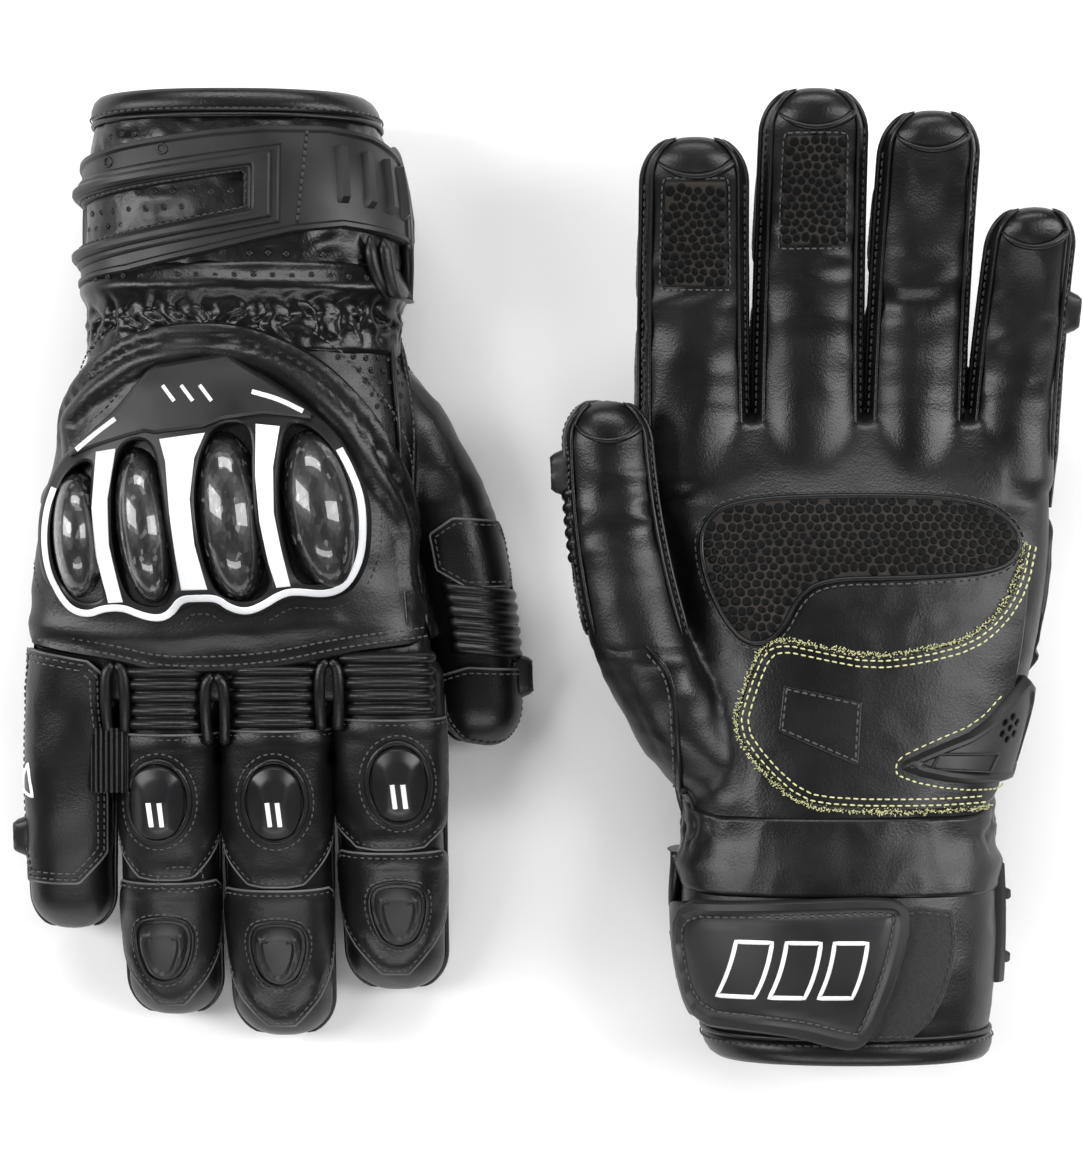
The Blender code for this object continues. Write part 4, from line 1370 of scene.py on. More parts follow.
def add_cuff_guard():
    """The moulded plate on the back of the cuff, with a stepped frame round its window and four bars."""
    outline = around_edge(CUFF_GUARD_EDGE, 6.0)
    outline[6:9] = [(u - 3.0, v) for u, v in outline[6:9]]
    rim = [tuple(p) for p in resampled(window_rim(0.0, 0.0), 3.0, False)]
    loop = resampled(outline, 1.1, True)
    hole = resampled(around_edge(rim, 2.0), 1.1, True)
    ring = ring_of(loop)

    def top(points):
        lip = distance_to(points, ring, True)
        return 2.0 + 0.8 * smooth(2.2, 1.6, lip) * smooth(0.0, 0.6, lip)

    guides = [inset(ring, d) for d in (1.0, 1.6, 2.2)]
    body = plate(loop, top, (hole,), 2.6, ((0.0, 0.7), (0.2, 0.25), (0.6, 0.0)), -0.4, guides)
    for inner, outer, height in (((0.7, 0.9), (6.2, 9.6), 2.9), ((1.3, 2.0), (4.3, 7.2), 4.3)):
        band_rim = ((0.0, 0.9), (0.35, 0.35), (0.9, 0.0))
        body.join(plate(window_band(inner, outer), level(height), (), 3.0, band_rim, 1.0))
    emit("cuff_guard_plate", body.wrapped(CUFF), "rubber", "cuff", ("cuff_guard",), 38)
    frame_line = np.array(around_edge(rim, 3.0))
    details = Work()
    first = CUFF.arc(-19.5, -37.0)
    for k in range(4):
        u = first - 7.4 * k
        low, high = -44.6 + 1.1 * k, -29.6 + 0.9 * k
        details.join(wedge_bar(u, low, high, 3.4, 2.0, 2.4))
    for x, y in ((41.3, -40.9), (26.8, -43.5)):
        details.join(rope(oval((CUFF.arc(x, y), y), 1.25, 1.25, 24), 0.35, 2.15, True, 6))
    emit("cuff_guard_bars", details.wrapped(CUFF), "rubber", "cuff", (), 30)
    seam = CUFF.seen(((-10.6, -48.6), (-9.4, -36.0), (-8.2, -22.8)))
    # a near-black rope along the seam: painted shade of a groove
    groove = rope(curved(seam, False, 1.0), 0.5, 1.75)
    emit("cuff_guard_groove_painted_shade", groove.wrapped(CUFF), "dark", "cuff")
    tread = stitches(curved(seam, False, 1.0), 1.9, 1.4, 0.8, 2.25)
    tread.join(stitches(inset(ring, 1.0), 2.1, 1.5, 0.4, 2.3))
    tread.join(stitches(inset_line(frame_line, 0.4), 2.0, 1.4, 0.4, 2.0))
    emit("cuff_guard_stitching", tread.wrapped(CUFF), "thread", "cuff")


def wedge_bar(u, low, high, width, base, height):
    """A raised bar whose long side slopes, as moulded on the guard."""
    half = width / 2.0
    rows = ((low, 0.0), (low + 0.5, height * 0.9), (high - 1.6, height), (high, 0.3))
    points = []
    for v, rise in rows:
        points += [(u - half, v, base - 0.3), (u - half * 0.8, v, base + rise * 0.75),
                   (u + half * 0.45, v, base + rise), (u + half, v, base - 0.3)]
    return Work().grid(len(rows), 4, points).capped(len(rows), 4)


def add_cuff_perforations():
    zones = (
        ((44.0, -50.4), (30.0, -52.0), (-14.0, -52.0), (-14.0, -50.6), (20.0, -49.0), (44.0, -45.6)),
        ((50.0, -29.0), (34.3, -33.6), (6.6, -36.6), (6.8, -29.2), (34.3, -24.0), (50.0, -20.4)),
        ((46.0, -9.0), (16.0, -14.8), (-8.0, -20.0), (-30.0, -19.0), (-30.0, -14.0), (40.0, -7.0)),
    )
    lips, hole_shades = Work(), Work()
    for zone, pitch in zip(zones, (4.4, 5.2, 5.0)):
        made = holes_grid(CUFF.seen(zone), pitch, 0.6, 0.25, 0.25)
        lips.join(made[0])
        hole_shades.join(made[1])
    emit("cuff_holes", lips.wrapped(CUFF), "leather_soft", "cuff")
    # near-black discs in the holes: painted shade
    emit("cuff_hole_painted_shade", hole_shades.wrapped(CUFF), "dark", "cuff")


STRAP_EDGE = ((-33.0, -17.6), (-10.0, -16.0), (17.6, -14.8), (22.0, -16.6), (24.0, -20.6), (19.0, -38.0),
              (13.6, -52.0), (10.6, -54.6), (5.9, -55.0), (-8.8, -50.6), (-33.0, -49.0))


def add_strap():
    """The strap's moulded end, with the hook side under it and three outlined marks."""
    outline = CUFF.seen(STRAP_EDGE, True)
    side = [float(CUFF.half_at(v)) * 1.452 for v in (-49.6, -17.4)]
    outline[0], outline[-1] = (side[1], -17.4), (side[0], -49.0)
    loop = curved(outline, True, 1.2, 2)
    ring = ring_of(loop)

    def top(points):
        lip = distance_to(points, ring, True)
        return 4.2 + 0.8 * smooth(3.4, 2.6, lip) - 0.5 * smooth(5.4, 4.6, lip) * smooth(3.2, 3.8, lip)

    guides = [inset(ring, d) for d in (2.6, 3.4, 4.4, 5.2)]
    body = plate(loop, top, (), 2.4, ((0.0, 1.2), (0.35, 0.4), (1.0, 0.0)), 1.5, guides)
    emit("strap_plate", body.wrapped(CUFF), "rubber", "strap", ("strap",), 40)
    hooks = plate(inset(ring, 0.3), level(1.5), (), 2.4, ((0.0, 0.0), (0.8, 0.25)), 1.8)
    emit("strap_hooks", hooks.wrapped(CUFF), "pile", "strap")
    row = stitches(inset(ring, 4.3), *STRONG_ROW, 3.85, True)
    emit("strap_stitching", row.wrapped(CUFF), "thread_grey", "strap")
    marks = Work()
    for x in (-24.0, -12.0, 0.0):
        frame_loop = CUFF.seen(((x, -41.0), (x + 8.5, -41.0), (x + 12.5, -27.0), (x + 4.0, -27.0)), True)
        marks.join(ribbon(ring_of(resampled(frame_loop, 1.0, True)), 1.1, 0.35, level(4.2), True))
    emit("strap_marks", marks.wrapped(CUFF), "white", "strap", (), 40)


def add_strap_root():
    """The rubber that carries on from the cuff's guard round the side."""
    corners = ((-0.452, -41.5), (-0.452, -21.4), (-0.5, -19.4), (-0.56, -18.4), (-0.62, -18.4),
               (-0.62, -48.6), (-0.56, -48.6), (-0.5, -45.0))
    outline = [(share * float(CUFF.half_at(v)), v) for share, v in corners]
    band_rim = ((0.0, 0.8), (0.3, 0.25), (0.8, 0.0))
    band = plate(resampled(outline, 1.0, True), level(3.3), (), 1.1, band_rim, 0.6)
    emit("strap_root", band.wrapped(CUFF), "rubber", "strap_root", (), 40)


LOOP_EDGE = ((-6.0, -20.0), (27.0, -17.6), (36.0, -19.0), (37.0, -27.0), (30.0, -48.0), (24.0, -53.6),
             (-6.0, -53.6))


def add_loop_patch():
    """The fuzzy patch that the strap closes on."""
    loop = resampled(CUFF.seen(LOOP_EDGE, True), 1.2, True)

    def top(points):
        return np.array([1.35 + 0.35 * noise.noise(Vector((u * 1.7, v * 1.7, 4.0))) for u, v in points])

    pile = plate(loop, top, (), 0.9, ((0.0, 0.8), (0.25, 0.3), (0.7, 0.0)), -0.3)
    emit("loop_pile", pile.wrapped(CUFF), "pile", "cuff", ("loop_patch",))
    row = stitches(inset(ring_of(loop), 1.6), 2.4, 1.7, 0.5, 1.5, True)
    emit("loop_stitching", row.wrapped(CUFF), "thread", "cuff")


def add_pull_loop():
    """The loop at the thumb side that the glove is pulled on by."""
    path = CUFF.seen(((-28.6, -21.0), (-29.4, -12.0), (-31.0, -5.0)))
    bend = CUFF.seen(((-33.0, -2.4), (-35.6, -3.4)))
    back = [(u - 2.0, v) for u, v in CUFF.seen(((-35.6, -9.0), (-34.4, -23.0)))]
    line = curved(path + bend + back, False, 1.0)
    lifts = 3.4 - 1.7 * smooth(0.35, 0.7, np.linspace(0.0, 1.0, len(line)))
    emit("pull_loop", rope(line, 1.9, lifts, sides=10, taper=3.0).wrapped(CUFF), "leather", "cuff")
    twin = curved([(u + 3.6, v - 0.5) for u, v in path[:2]] + [(path[2][0] + 2.0, -5.0)], False, 1.0)
    emit("pull_loop_root", rope(twin, 1.7, 2.4, sides=10, taper=5.0).wrapped(CUFF), "leather", "cuff")


# ---------------------------------------------------------------- digits

# v where the first back panel starts, leaves the sides and ends; its half width there; v of the point
BACK_PANELS = {
    "index": (108.0, 135.0, 144.6, 8.6, 182.0),
    "middle": (111.0, 138.0, 155.0, 6.8, 197.0),
    "ring": (112.0, 137.0, 153.0, 6.6, 191.0),
}
KNUCKLE_SLIDERS = {"index": (-34.5, 126.0), "middle": (-0.8, 131.0), "ring": (31.0, 131.0)}
TIP_SLIDERS = {"index": (-34.0, 163.0), "middle": (-0.8, 174.0), "ring": (31.0, 173.0)}


def digit_top(digit, v):
    """The arc from a digit's middle to its side."""
    return float(SLEEVES[digit].half_at(v)) * 0.5


def add_back_panels(digit):
    """A finger's two panels on its back, with rims whose lighter grey paints a highlight on their edges, and
    stitches.
    """
    sleeve = SLEEVES[digit]
    start, sides, end, narrow, point = BACK_PANELS[digit]
    wide = digit_top(digit, sides) + 1.2
    first = curved(((-wide, start), (-wide * 0.4, start + 0.6), (wide * 0.4, start + 0.6), (wide, start),
                    (wide, sides), (narrow + 3.0, end - 3.0), (narrow, end), (-narrow, end),
                    (-narrow - 3.0, end - 3.0), (-wide, sides)), True, 1.1, 1)
    tip_wide = digit_top(digit, end + 6.0) - 0.5
    second = curved(((-tip_wide, end + 0.2), (0.0, end + 0.8), (tip_wide, end + 0.2), (tip_wide, end + 12.0),
                     (tip_wide * 0.72, point - 14.0), (0.0, point + 3.0), (-tip_wide * 0.72, point - 14.0),
                     (-tip_wide, end + 12.0)), True, 1.1, 1)
    panels, rows, rims = Work(), Work(), Work()
    for loop, seed in ((first, 61.0), (second, 67.0)):
        ring = ring_of(loop)

        def top(points, seed=seed, ring=ring):
            roll = 0.45 * np.exp(-(((distance_to(points, ring, True) - 3.0) / 1.3) ** 2))
            return 1.0 + swells(points, 0.22, 0.8, 0.13, seed) + roll

        panels.join(plate(ring, top, (), 1.7, PANEL_RIM, -0.7, (inset(ring, 1.6), inset(ring, 3.0))))
        rims.join(rim_of(ring, 0.95))
        rows.join(stitches(inset(ring, 1.5), *PANEL_ROW, 1.05, True))
    emit_digit(f"{digit}_back_panels", digit, panels.wrapped(sleeve), "leather")
    # rims in a lighter grey: painted highlight on the panel edges
    emit_digit(f"{digit}_panel_rims", digit, rims.wrapped(sleeve), "leather_rim_highlight")
    emit_digit(f"{digit}_panel_stitching", digit, rows.wrapped(sleeve), "thread_grey")


def rim_of(ring, lift):
    """A panel's edge as a thin rope, in a lighter grey that paints a highlight on it."""
    return rope(inset(ring, 0.25), 0.33, lift, True, 6)


def oval(middle, half_u, half_v, count, power=2.0):
    """A closed loop of count points: an ellipse, or squarer with a higher power."""
    points = []
    for k in range(count):
        angle = 2.0 * math.pi * k / count
        c, s = math.cos(angle), math.sin(angle)
        points.append((middle[0] + half_u * math.copysign(abs(c) ** (2.0 / power), c),
                       middle[1] + half_v * math.copysign(abs(s) ** (2.0 / power), s)))
    return np.array(points)


def add_knuckle_slider(digit):
    """A faceted glossy cap with two white bars, in a stitched oval collar."""
    sleeve = SLEEVES[digit]
    x, y = KNUCKLE_SLIDERS[digit]
    middle = (sleeve.arc(x, y), y)
    half_u, half_v = 7.2, 9.9

    def top(points):
        a = np.abs(points[:, 0] - middle[0]) / half_u
        b = (points[:, 1] - middle[1]) / half_v
        round_top = 1.0 - 0.55 * (a * a + b * b)
        roof = 1.25 - 1.15 * a - 0.12 * b
        flat = 0.86 - 0.2 * np.abs(b + 0.1)
        return 1.2 + 3.6 * np.clip(np.minimum(np.minimum(round_top, roof), flat), 0.0, 1.0)

    outline = oval(middle, half_u, half_v, 40, 2.3)
    cap = plate(outline, top, (), 0.8, ((0.0, 0.5), (0.2, 0.15), (0.5, 0.0)), 0.5)
    emit(f"{digit}_knuckle_cap", cap.wrapped(sleeve), "slider", (digit, "proximal"),
         (f"{digit}_knuckle_slider",), 24)
    collar = rope(oval(middle, half_u + 1.1, half_v + 1.2, 48), 0.85, 1.2, True, 8, 0.8)
    emit_digit(f"{digit}_knuckle_collar", digit, collar.wrapped(sleeve), "leather")
    row = stitches(oval(middle, 10.3, 13.2, 56), *FINE_ROW, 1.15, True)
    emit_digit(f"{digit}_knuckle_stitching", digit, row.wrapped(sleeve), "thread_grey")
    bars = Work()
    for shift in (-1.25, 1.25):
        line = ((middle[0] + shift + 0.3, middle[1] - 0.6), (middle[0] + shift - 0.3, middle[1] + 6.0))
        bars.join(ribbon(resampled(line, 1.0, False), 1.15, 0.25, top))
    emit(f"{digit}_knuckle_bars", bars.wrapped(sleeve), "white", (digit, "proximal"), (), 40)


def add_tip_slider(digit):
    """A matte moulded shield: a bevelled rim round a lower flat middle."""
    sleeve = SLEEVES[digit]
    x, y = TIP_SLIDERS[digit]
    middle = (sleeve.arc(x, y), y)
    corners = ((-6.6, -6.6), (-3.0, -8.2), (3.0, -8.2), (6.6, -6.6), (6.6, 0.0), (3.4, 8.0), (-3.4, 8.0),
               (-6.6, 0.0))
    ring = ring_of(curved([(middle[0] + a, middle[1] + b) for a, b in corners], True, 0.9, 2))
    guides = [inset(ring, d) for d in (1.0, 1.9, 2.5, 3.1)]
    cap = plate(ring, dished(ring, 1.2, 3.1, 1.9, 1.1, 2.5, 3.1), (), 0.9, CAP_RIM, 0.4, guides)
    welt = rope(inset(ring, -1.15), 0.6, 1.1, True, 7)
    emit(f"{digit}_tip_collar", welt.wrapped(sleeve), "leather", (digit, "distal"))
    emit(f"{digit}_tip_cap", cap.wrapped(sleeve), "rubber", (digit, "distal"), (f"{digit}_tip_slider",), 50)
    row = stitches(inset(ring, -2.3), *FINE_ROW, 1.1, True)
    emit(f"{digit}_tip_stitching", row.wrapped(sleeve), "thread_grey", (digit, "distal"))


# v and u at the start and end of each finger's knuckle rolls
ACCORDIONS = {
    "index": (90.0, 107.6, -14.4, 12.4),
    "middle": (93.6, 111.0, -12.6, 12.6),
    "ring": (94.0, 111.6, -10.8, 10.8),
}
# x of each gap between two fingers
GAPS = ((-16.0, "index", "middle"), (14.9, "middle", "ring"), (42.0, "ring", "pinky"))


def gap_sides():
    """Each gap between two fingers once for each of them: its x, the finger, and the side that it is on."""
    for x, near, far in GAPS:
        yield x, near, -1.0, "near"
        yield x, far, 1.0, "far"


def knuckle_base(v):
    """How far the rolls at a knuckle stand off the finger, so that they leave the hand's back evenly."""
    return 0.3 + 3.0 * float(smooth(107.0, 90.0, v))


def raised(work, rise):
    """Flat work with rise(u, v) added to its height."""
    points = np.concatenate(work.points)
    points[:, 2] += [rise(u, v) for u, v in points[:, :2]]
    work.points = [points]
    return work


def add_accordions():
    """The rolls over the first knuckle of three fingers."""
    for digit, (v0, v1, u0, u1) in ACCORDIONS.items():
        def rise(u, v, free=digit == "index"):
            return knuckle_base(v) * (float(smooth(-15.0, -8.0, u)) if free else 1.0)

        rolls = raised(folds((u0, u1), (v0, v1), 5, 2.2, 0.0, 0.0, 0.45), rise)
        emit_digit(f"{digit}_accordion", digit, rolls.wrapped(SLEEVES[digit]), "leather")


def add_fourchettes():
    """The folded, piped gussets that part the fingers on the back of the hand: half a loop on each finger."""
    hem = np.array(sorted(BACK_HEM))
    shape = ((-0.3, 0.0), (1.1, 0.1), (2.2, 1.6), (2.6, 5.0), (2.6, 12.0), (2.2, 19.0))
    for x, digit, side, end in gap_sides():
        start = float(np.interp(x, hem[:, 0], hem[:, 1])) + 1.6
        line = curved([(x + side * wide, start + along) for wide, along in shape], False, 1.0, 2)
        crown = min(float(hand_top(np.array([[x, 94.0]]))[0]), 15.6) + 1.5
        lifts = crown - 0.013 * np.maximum(0.0, line[:, 1] - 93.0) ** 2
        loop = rope(line, 1.5, lifts, sides=10, taper=0.3)
        emit(f"{digit}_gusset_{end}", loop.wrapped(PLAN), "leather", (digit, "root"))


def add_webs():
    """The leather between neighbouring fingers on the back, half on each finger."""
    shape = ((-0.4, 94.0), (-0.4, 107.0), (2.0, 108.8), (3.6, 112.0), (5.0, 116.0), (7.6, 118.0),
             (8.6, 94.0))
    rounding = ((0.0, 2.0), (0.5, 0.75), (1.9, 0.0))
    for x, digit, side, end in gap_sides():
        outline = ring_of(curved([(x + side * wide, y) for wide, y in shape], True, 0.9, 2))
        web = plate(outline, level(7.0), (), 2.4, rounding, -4.0)
        emit(f"{digit}_web_{end}", web.wrapped(PLAN), "leather", (digit, "root"))


def softened(table, size):
    """A table of heights, blurred over size mm."""
    reach = int(3 * size) + 1
    weights = np.exp(-0.5 * (np.arange(-reach, reach + 1) / size) ** 2)
    weights /= weights.sum()
    for axis in (0, 1):
        padded = np.pad(table, [(reach, reach) if k == axis else (0, 0) for k in (0, 1)], mode="edge")
        table = np.apply_along_axis(lambda line: np.convolve(line, weights, "valid"), axis, padded)
    return table


def root_heights(xs, ys, skins):
    """How far the skins reach down where the palm runs into the fingers, bare and smoothed over."""
    shells = Work()
    for skin in skins:
        shells.join(skin)
    tree = BVHTree.FromPolygons([Vector(p) for p in np.concatenate(shells.points)], shells.faces)
    bare = np.empty((len(ys), len(xs)))
    for k, y in enumerate(ys):
        web = 12.6 - 2.6 * float(smooth(98.0, 112.0, y)) - 12.0 * float(smooth(111.0, 117.0, y))
        for j, x in enumerate(xs):
            found = tree.ray_cast(Vector((x, y, -90.0)), Vector((0.0, 0.0, 1.0)))[0]
            between = GAPS[0][0] - 12.0 < x < GAPS[-1][0] + 10.0
            bare[k, j] = max(web if between else 2.0, -found.z if found else 2.0)
    return bare, softened(np.maximum(softened(bare, 2.6), bare - 0.15), 1.0) + 0.35


def root_sides(digit, y):
    """Where a finger's share of the palm starts and ends in x, and whether each side is an outer one."""
    sleeve = SLEEVES[digit]
    xs = sleeve.points[int(np.searchsorted(sleeve.v, y)), :, 0]
    low = [x for x, _, far in GAPS if far == digit]
    high = [x for x, near, _ in GAPS if near == digit]
    return (low[0] if low else xs.min() + 1.5), (high[0] if high else xs.max() - 1.5), not low, not high


# how deep the edges of the palm's roots reach into the fingers
SKIRT = 9.0


def add_palm_roots(skins):
    """The palm's leather carried on into each finger, as far as the crotches."""
    xs, ys = np.arange(-50.0, 68.0, 0.8), np.arange(87.0, 121.5, 0.9)
    bare, soft = root_heights(xs, ys, skins)
    columns = 38
    for digit in FINGERS:
        rows = []
        for k, y in enumerate(ys):
            low, high, outer_low, outer_high = root_sides(digit, y)
            across = np.linspace(low, high, columns)
            share = np.full(columns, float(smooth(87.5, 93.0, y) * smooth(120.0, 110.0, y)))
            share *= 1.0 - outer_low * smooth(low + 15.0, low + 4.0, across)
            share *= 1.0 - outer_high * smooth(high - 6.0, high - 1.0, across)
            covered, open_skin = np.interp(across, xs, soft[k]), np.interp(across, xs, bare[k]) + 0.05
            lifts = covered * share + open_skin * (1.0 - share)
            rows.append(np.column_stack([across, np.full(columns, y), lifts]))
        sheet = np.pad(np.stack(rows), ((1, 1), (1, 1), (0, 0)), mode="edge")
        sheet[[0, -1], :, 2] -= SKIRT
        sheet[1:-1, [0, -1], 2] -= SKIRT
        work = Work().grid(len(ys) + 2, columns + 2, sheet)
        emit(f"{digit}_palm_root", work.wrapped(PLAN_BELOW), "leather", (digit, "root"), (), 50)


def add_finger_seams(digit):
    """Piping down both sides of a finger, and the seams that close its palm side."""
    sleeve = SLEEVES[digit]
    last = float(sleeve.v[-1]) - 3.5
    first = DIGITS[digit][0][0] + 4.0
    pipes, rows = Work(), Work()

    def lengthways(share, end, count):
        return [(share * float(sleeve.half_at(v)), v) for v in np.linspace(first, end, count)]

    for side in (-1.0, 1.0):
        for share, radius in ((0.545, 0.75), (0.7, 0.55)):
            pipes.join(rope(lengthways(side * share, last, 60), radius, 0.35, sides=7, taper=5.0))
        line = lengthways(side * 0.62, last - 12.0, 50)
        rows.join(stitches(line, 2.1, 1.5, 0.42, 0.25))
    emit_digit(f"{digit}_piping", digit, pipes.wrapped(sleeve), "leather")
    emit_digit(f"{digit}_seam_stitching", digit, rows.wrapped(sleeve), "thread")
    cap_v = DIGITS[digit][1][0] - 6.0
    arch = []
    for share in np.linspace(-0.3, 0.3, 15):
        v = cap_v - 5.0 + 55.0 * share * share
        arch.append(((1.0 + share) * float(sleeve.half_at(v)), v))
    welt = rope(curved(arch, False, 1.0, 1), 0.8, 0.2, sides=7, taper=3.0)
    emit_digit(f"{digit}_tip_welt", digit, welt.wrapped(sleeve), "leather")


def add_pebbles(outline, place, spacing, name, zone_emit):
    """A grip patch: a leather cover with dark many-sided pebbles standing on it."""
    ring = ring_of(outline)
    cover = plate(ring, level(0.9), (), 2.2, ((0.0, 0.7), (0.3, 0.2), (0.8, 0.0)), -0.6)
    zone_emit(f"{name}_cover", cover.wrapped(place), "grip_base")
    low, high = ring.min(axis=0), ring.max(axis=0)
    us, vs = np.meshgrid(np.arange(low[0], high[0], spacing), np.arange(low[1], high[1], spacing * 0.86))
    us[1::2] += spacing / 2.0
    seeds = np.column_stack([us.ravel(), vs.ravel()])
    seeds += np.array([(random.uniform(-0.25, 0.25), random.uniform(-0.25, 0.25)) for _ in seeds]) * spacing
    seeds = seeds[inside(seeds, ring) & (distance_to(seeds, ring, True) > spacing * 0.4)]
    pebbles = Work()
    for seed in seeds:
        add_pebble(pebbles, seed, seeds, spacing)
    zone_emit(f"{name}_pebbles", pebbles.wrapped(place), "grip")


def add_pebble(work, middle, seeds, spacing):
    """One island of the grip: it fills its room between the neighbouring islands, but for a narrow groove."""
    corners = 12
    gaps = seeds - middle
    size = np.linalg.norm(gaps, axis=1)
    near = (size > 1e-6) & (size < 2.0 * spacing)
    gaps, size = gaps[near], size[near]
    turns = 2.0 * math.pi * np.arange(corners) / corners
    facing = (np.outer(np.cos(turns), gaps[:, 0]) + np.outer(np.sin(turns), gaps[:, 1])) / size
    room = np.where(facing > 0.15, size / 2.0 / np.maximum(facing, 0.15), spacing)
    reach = np.minimum(room.min(axis=1), spacing * 0.7) - spacing * 0.085
    reach = 0.5 * reach + 0.25 * (np.roll(reach, 1) + np.roll(reach, -1))
    profile = ((1.0, 0.8), (0.95, 1.0), (0.8, 1.12), (0.4, 1.16))
    points = [(middle[0] + scale * r * math.cos(t), middle[1] + scale * r * math.sin(t), rise)
              for scale, rise in profile for r, t in zip(reach, turns)]
    work.grid(len(profile), corners, points, closed=True)
    work.faces.append(tuple(range(work.count - corners, work.count)))


def add_finger_grips():
    """The grip patches on two fingertips."""
    for digit, v0, v1, wide in (("index", 148.0, 175.0, 8.8), ("middle", 159.0, 187.0, 8.4)):
        sleeve = SLEEVES[digit]
        low, high = float(sleeve.half_at(v0)), float(sleeve.half_at(v1))
        narrow = wide * 0.92
        corners = ((low - wide, v0), (low + wide, v0), (high + narrow, v1), (high - narrow, v1))
        outline = resampled(corners, 1.2, True)

        def piece(name, work, look, digit=digit):
            emit_digit(name, digit, work, look)

        add_pebbles(outline, sleeve, 2.4, f"{digit}_grip", piece)
        row = stitches(inset(ring_of(outline), -0.8), *PANEL_ROW, 0.4, True)
        emit_digit(f"{digit}_grip_stitching", digit, row.wrapped(sleeve), "thread_grey")


def add_pinky_panels():
    """The little finger's long panel, sewn twice, with a small outlined triangle."""
    sleeve = SLEEVES["pinky"]
    wide = digit_top("pinky", 130.0)
    loop = ring_of(curved(((-wide * 0.42, 93.0), (wide * 0.3, 90.0), (wide + 2.0, 89.0), (wide + 2.0, 154.0),
                           (-wide * 0.62, 154.6), (-wide * 0.62, 118.0), (-wide * 0.5, 106.0)), True, 1.2, 1))

    def rise(u, v):
        side = float(smooth(0.9, 0.5, -u / wide) if u < 0 else smooth(0.62, 0.05, u / wide))
        return knuckle_base(v) * side + 0.4 * creasing((u, v * 0.7, 0.0), 0.1, 71.0)

    def top(points):
        return np.array([0.6 + rise(u, v) for u, v in points])

    panel = plate(loop, top, (), 1.8, PANEL_RIM, -0.7, (inset(loop, 1.6),))
    emit_digit("pinky_back_panel", "pinky", panel.wrapped(sleeve), "leather")
    rim = raised(rim_of(loop, 0.55), rise)
    # rim in a lighter grey: painted highlight on the panel edge
    emit_digit("pinky_panel_rim", "pinky", rim.wrapped(sleeve), "leather_rim_highlight")
    rows = stitches(inset(loop, 1.5), *PANEL_ROW, 0.7, True)
    rows.join(stitches(inset(loop, 3.2), *PANEL_ROW, 0.7, True))
    emit_digit("pinky_stitching", "pinky", raised(rows, rise).wrapped(sleeve), "thread_grey")
    corners = ((wide * 0.62, 121.0), (wide * 0.95, 128.0), (wide * 0.5, 130.0))
    mark = ribbon(ring_of(resampled(corners, 1.0, True)), 0.8, 0.3, level(1.1), True)
    emit_digit("pinky_mark", "pinky", mark.wrapped(sleeve), "white")


def add_pleats():
    """The pleated stretch leather between the ring and the little finger."""
    pleats, rows = 8, 24
    columns = pleats * 6
    points = []
    for along in np.linspace(0.0, 17.6, rows + 1):
        for t in np.linspace(0.0, 1.0, columns + 1):
            ridge = abs(math.sin(math.pi * pleats * t)) ** 0.7
            z = 10.4 + 1.4 * ridge - 3.0 * (2.0 * t - 1.0) ** 4 - 0.02 * along
            points.append((38.2 + 11.6 * t, 111.0 + along, z))
    bridge = Work().grid(rows + 1, columns + 1, points)
    emit("pleated_bridge", bridge, "leather", ("ring", "proximal"), ("finger_bridge",))
    patch = ring_of(curved(((-9.6, 149.0), (2.0, 149.0), (2.0, 156.0), (-9.6, 156.0)), True, 0.9, 1))
    row = stitches(patch, *FINE_ROW, 1.2, True)
    emit_digit("ring_patch_stitching", "ring", row.wrapped(SLEEVES["ring"]), "thread_grey")


def add_side_cap(digit, y, z, half_length, outward):
    """A moulded slider on the side of a digit, as a rounded block with a bevelled face."""
    sleeve = SLEEVES[digit]
    drop = digit_row(digit, y)[1] - z
    middle = (outward * (digit_top(digit, y) + drop), y)
    half_height = 4.6
    ring = ring_of(oval(middle, half_height, half_length, 36, 3.0))
    top = dished(ring, 1.0, 3.4, 2.0, 0.5, 2.4, 3.2)
    cap = plate(ring, top, (), 0.9, CAP_RIM, 0.2, (inset(ring, 1.2), inset(ring, 2.2)))
    emit(f"{digit}_side_cap", cap.wrapped(sleeve), "rubber", (digit, "distal"), (f"{digit}_slider",), 45)
    row = stitches(inset(ring, -1.4), *FINE_ROW, 0.3, True)
    emit(f"{digit}_side_stitching", row.wrapped(sleeve), "thread_grey", (digit, "distal"))


def add_thumb_panels():
    """The thumb's rolls, with a sewn panel before and after them."""
    sleeve = SLEEVES["thumb"]
    wide = digit_top("thumb", 80.0)
    rolls = folds((-wide * 1.25, wide * 0.35), (74.0, 94.0), 6, 1.5, 0.25, -3.0, 0.5)
    emit_digit("thumb_accordion", "thumb", rolls.wrapped(sleeve), "leather")
    tip = ring_of(curved(((-wide * 1.1, 96.0), (wide * 0.5, 94.6), (wide * 0.62, 106.0), (wide * 0.1, 121.0),
                          (-wide * 0.8, 117.0), (-wide * 1.15, 106.0)), True, 1.1, 1))
    base = ring_of(curved(((-wide * 1.2, 55.0), (wide * 0.3, 53.0), (wide * 0.34, 73.0), (-wide * 1.2, 73.0)),
                          True, 1.1, 1))
    panels, rims, rows = Work(), Work(), Work()
    for loop in (base, tip):
        panels.join(plate(loop, level(0.9), (), 1.7, PANEL_RIM, -0.7))
        rims.join(rim_of(loop, 0.85))
        rows.join(stitches(inset(loop, 1.6), *PANEL_ROW, 1.0, True))
    emit_digit("thumb_panels", "thumb", panels.wrapped(sleeve), "leather")
    # rims in a lighter grey: painted highlight on the panel edges
    emit_digit("thumb_panel_rims", "thumb", rims.wrapped(sleeve), "leather_rim_highlight")
    emit_digit("thumb_stitching", "thumb", rows.wrapped(sleeve), "thread_grey")


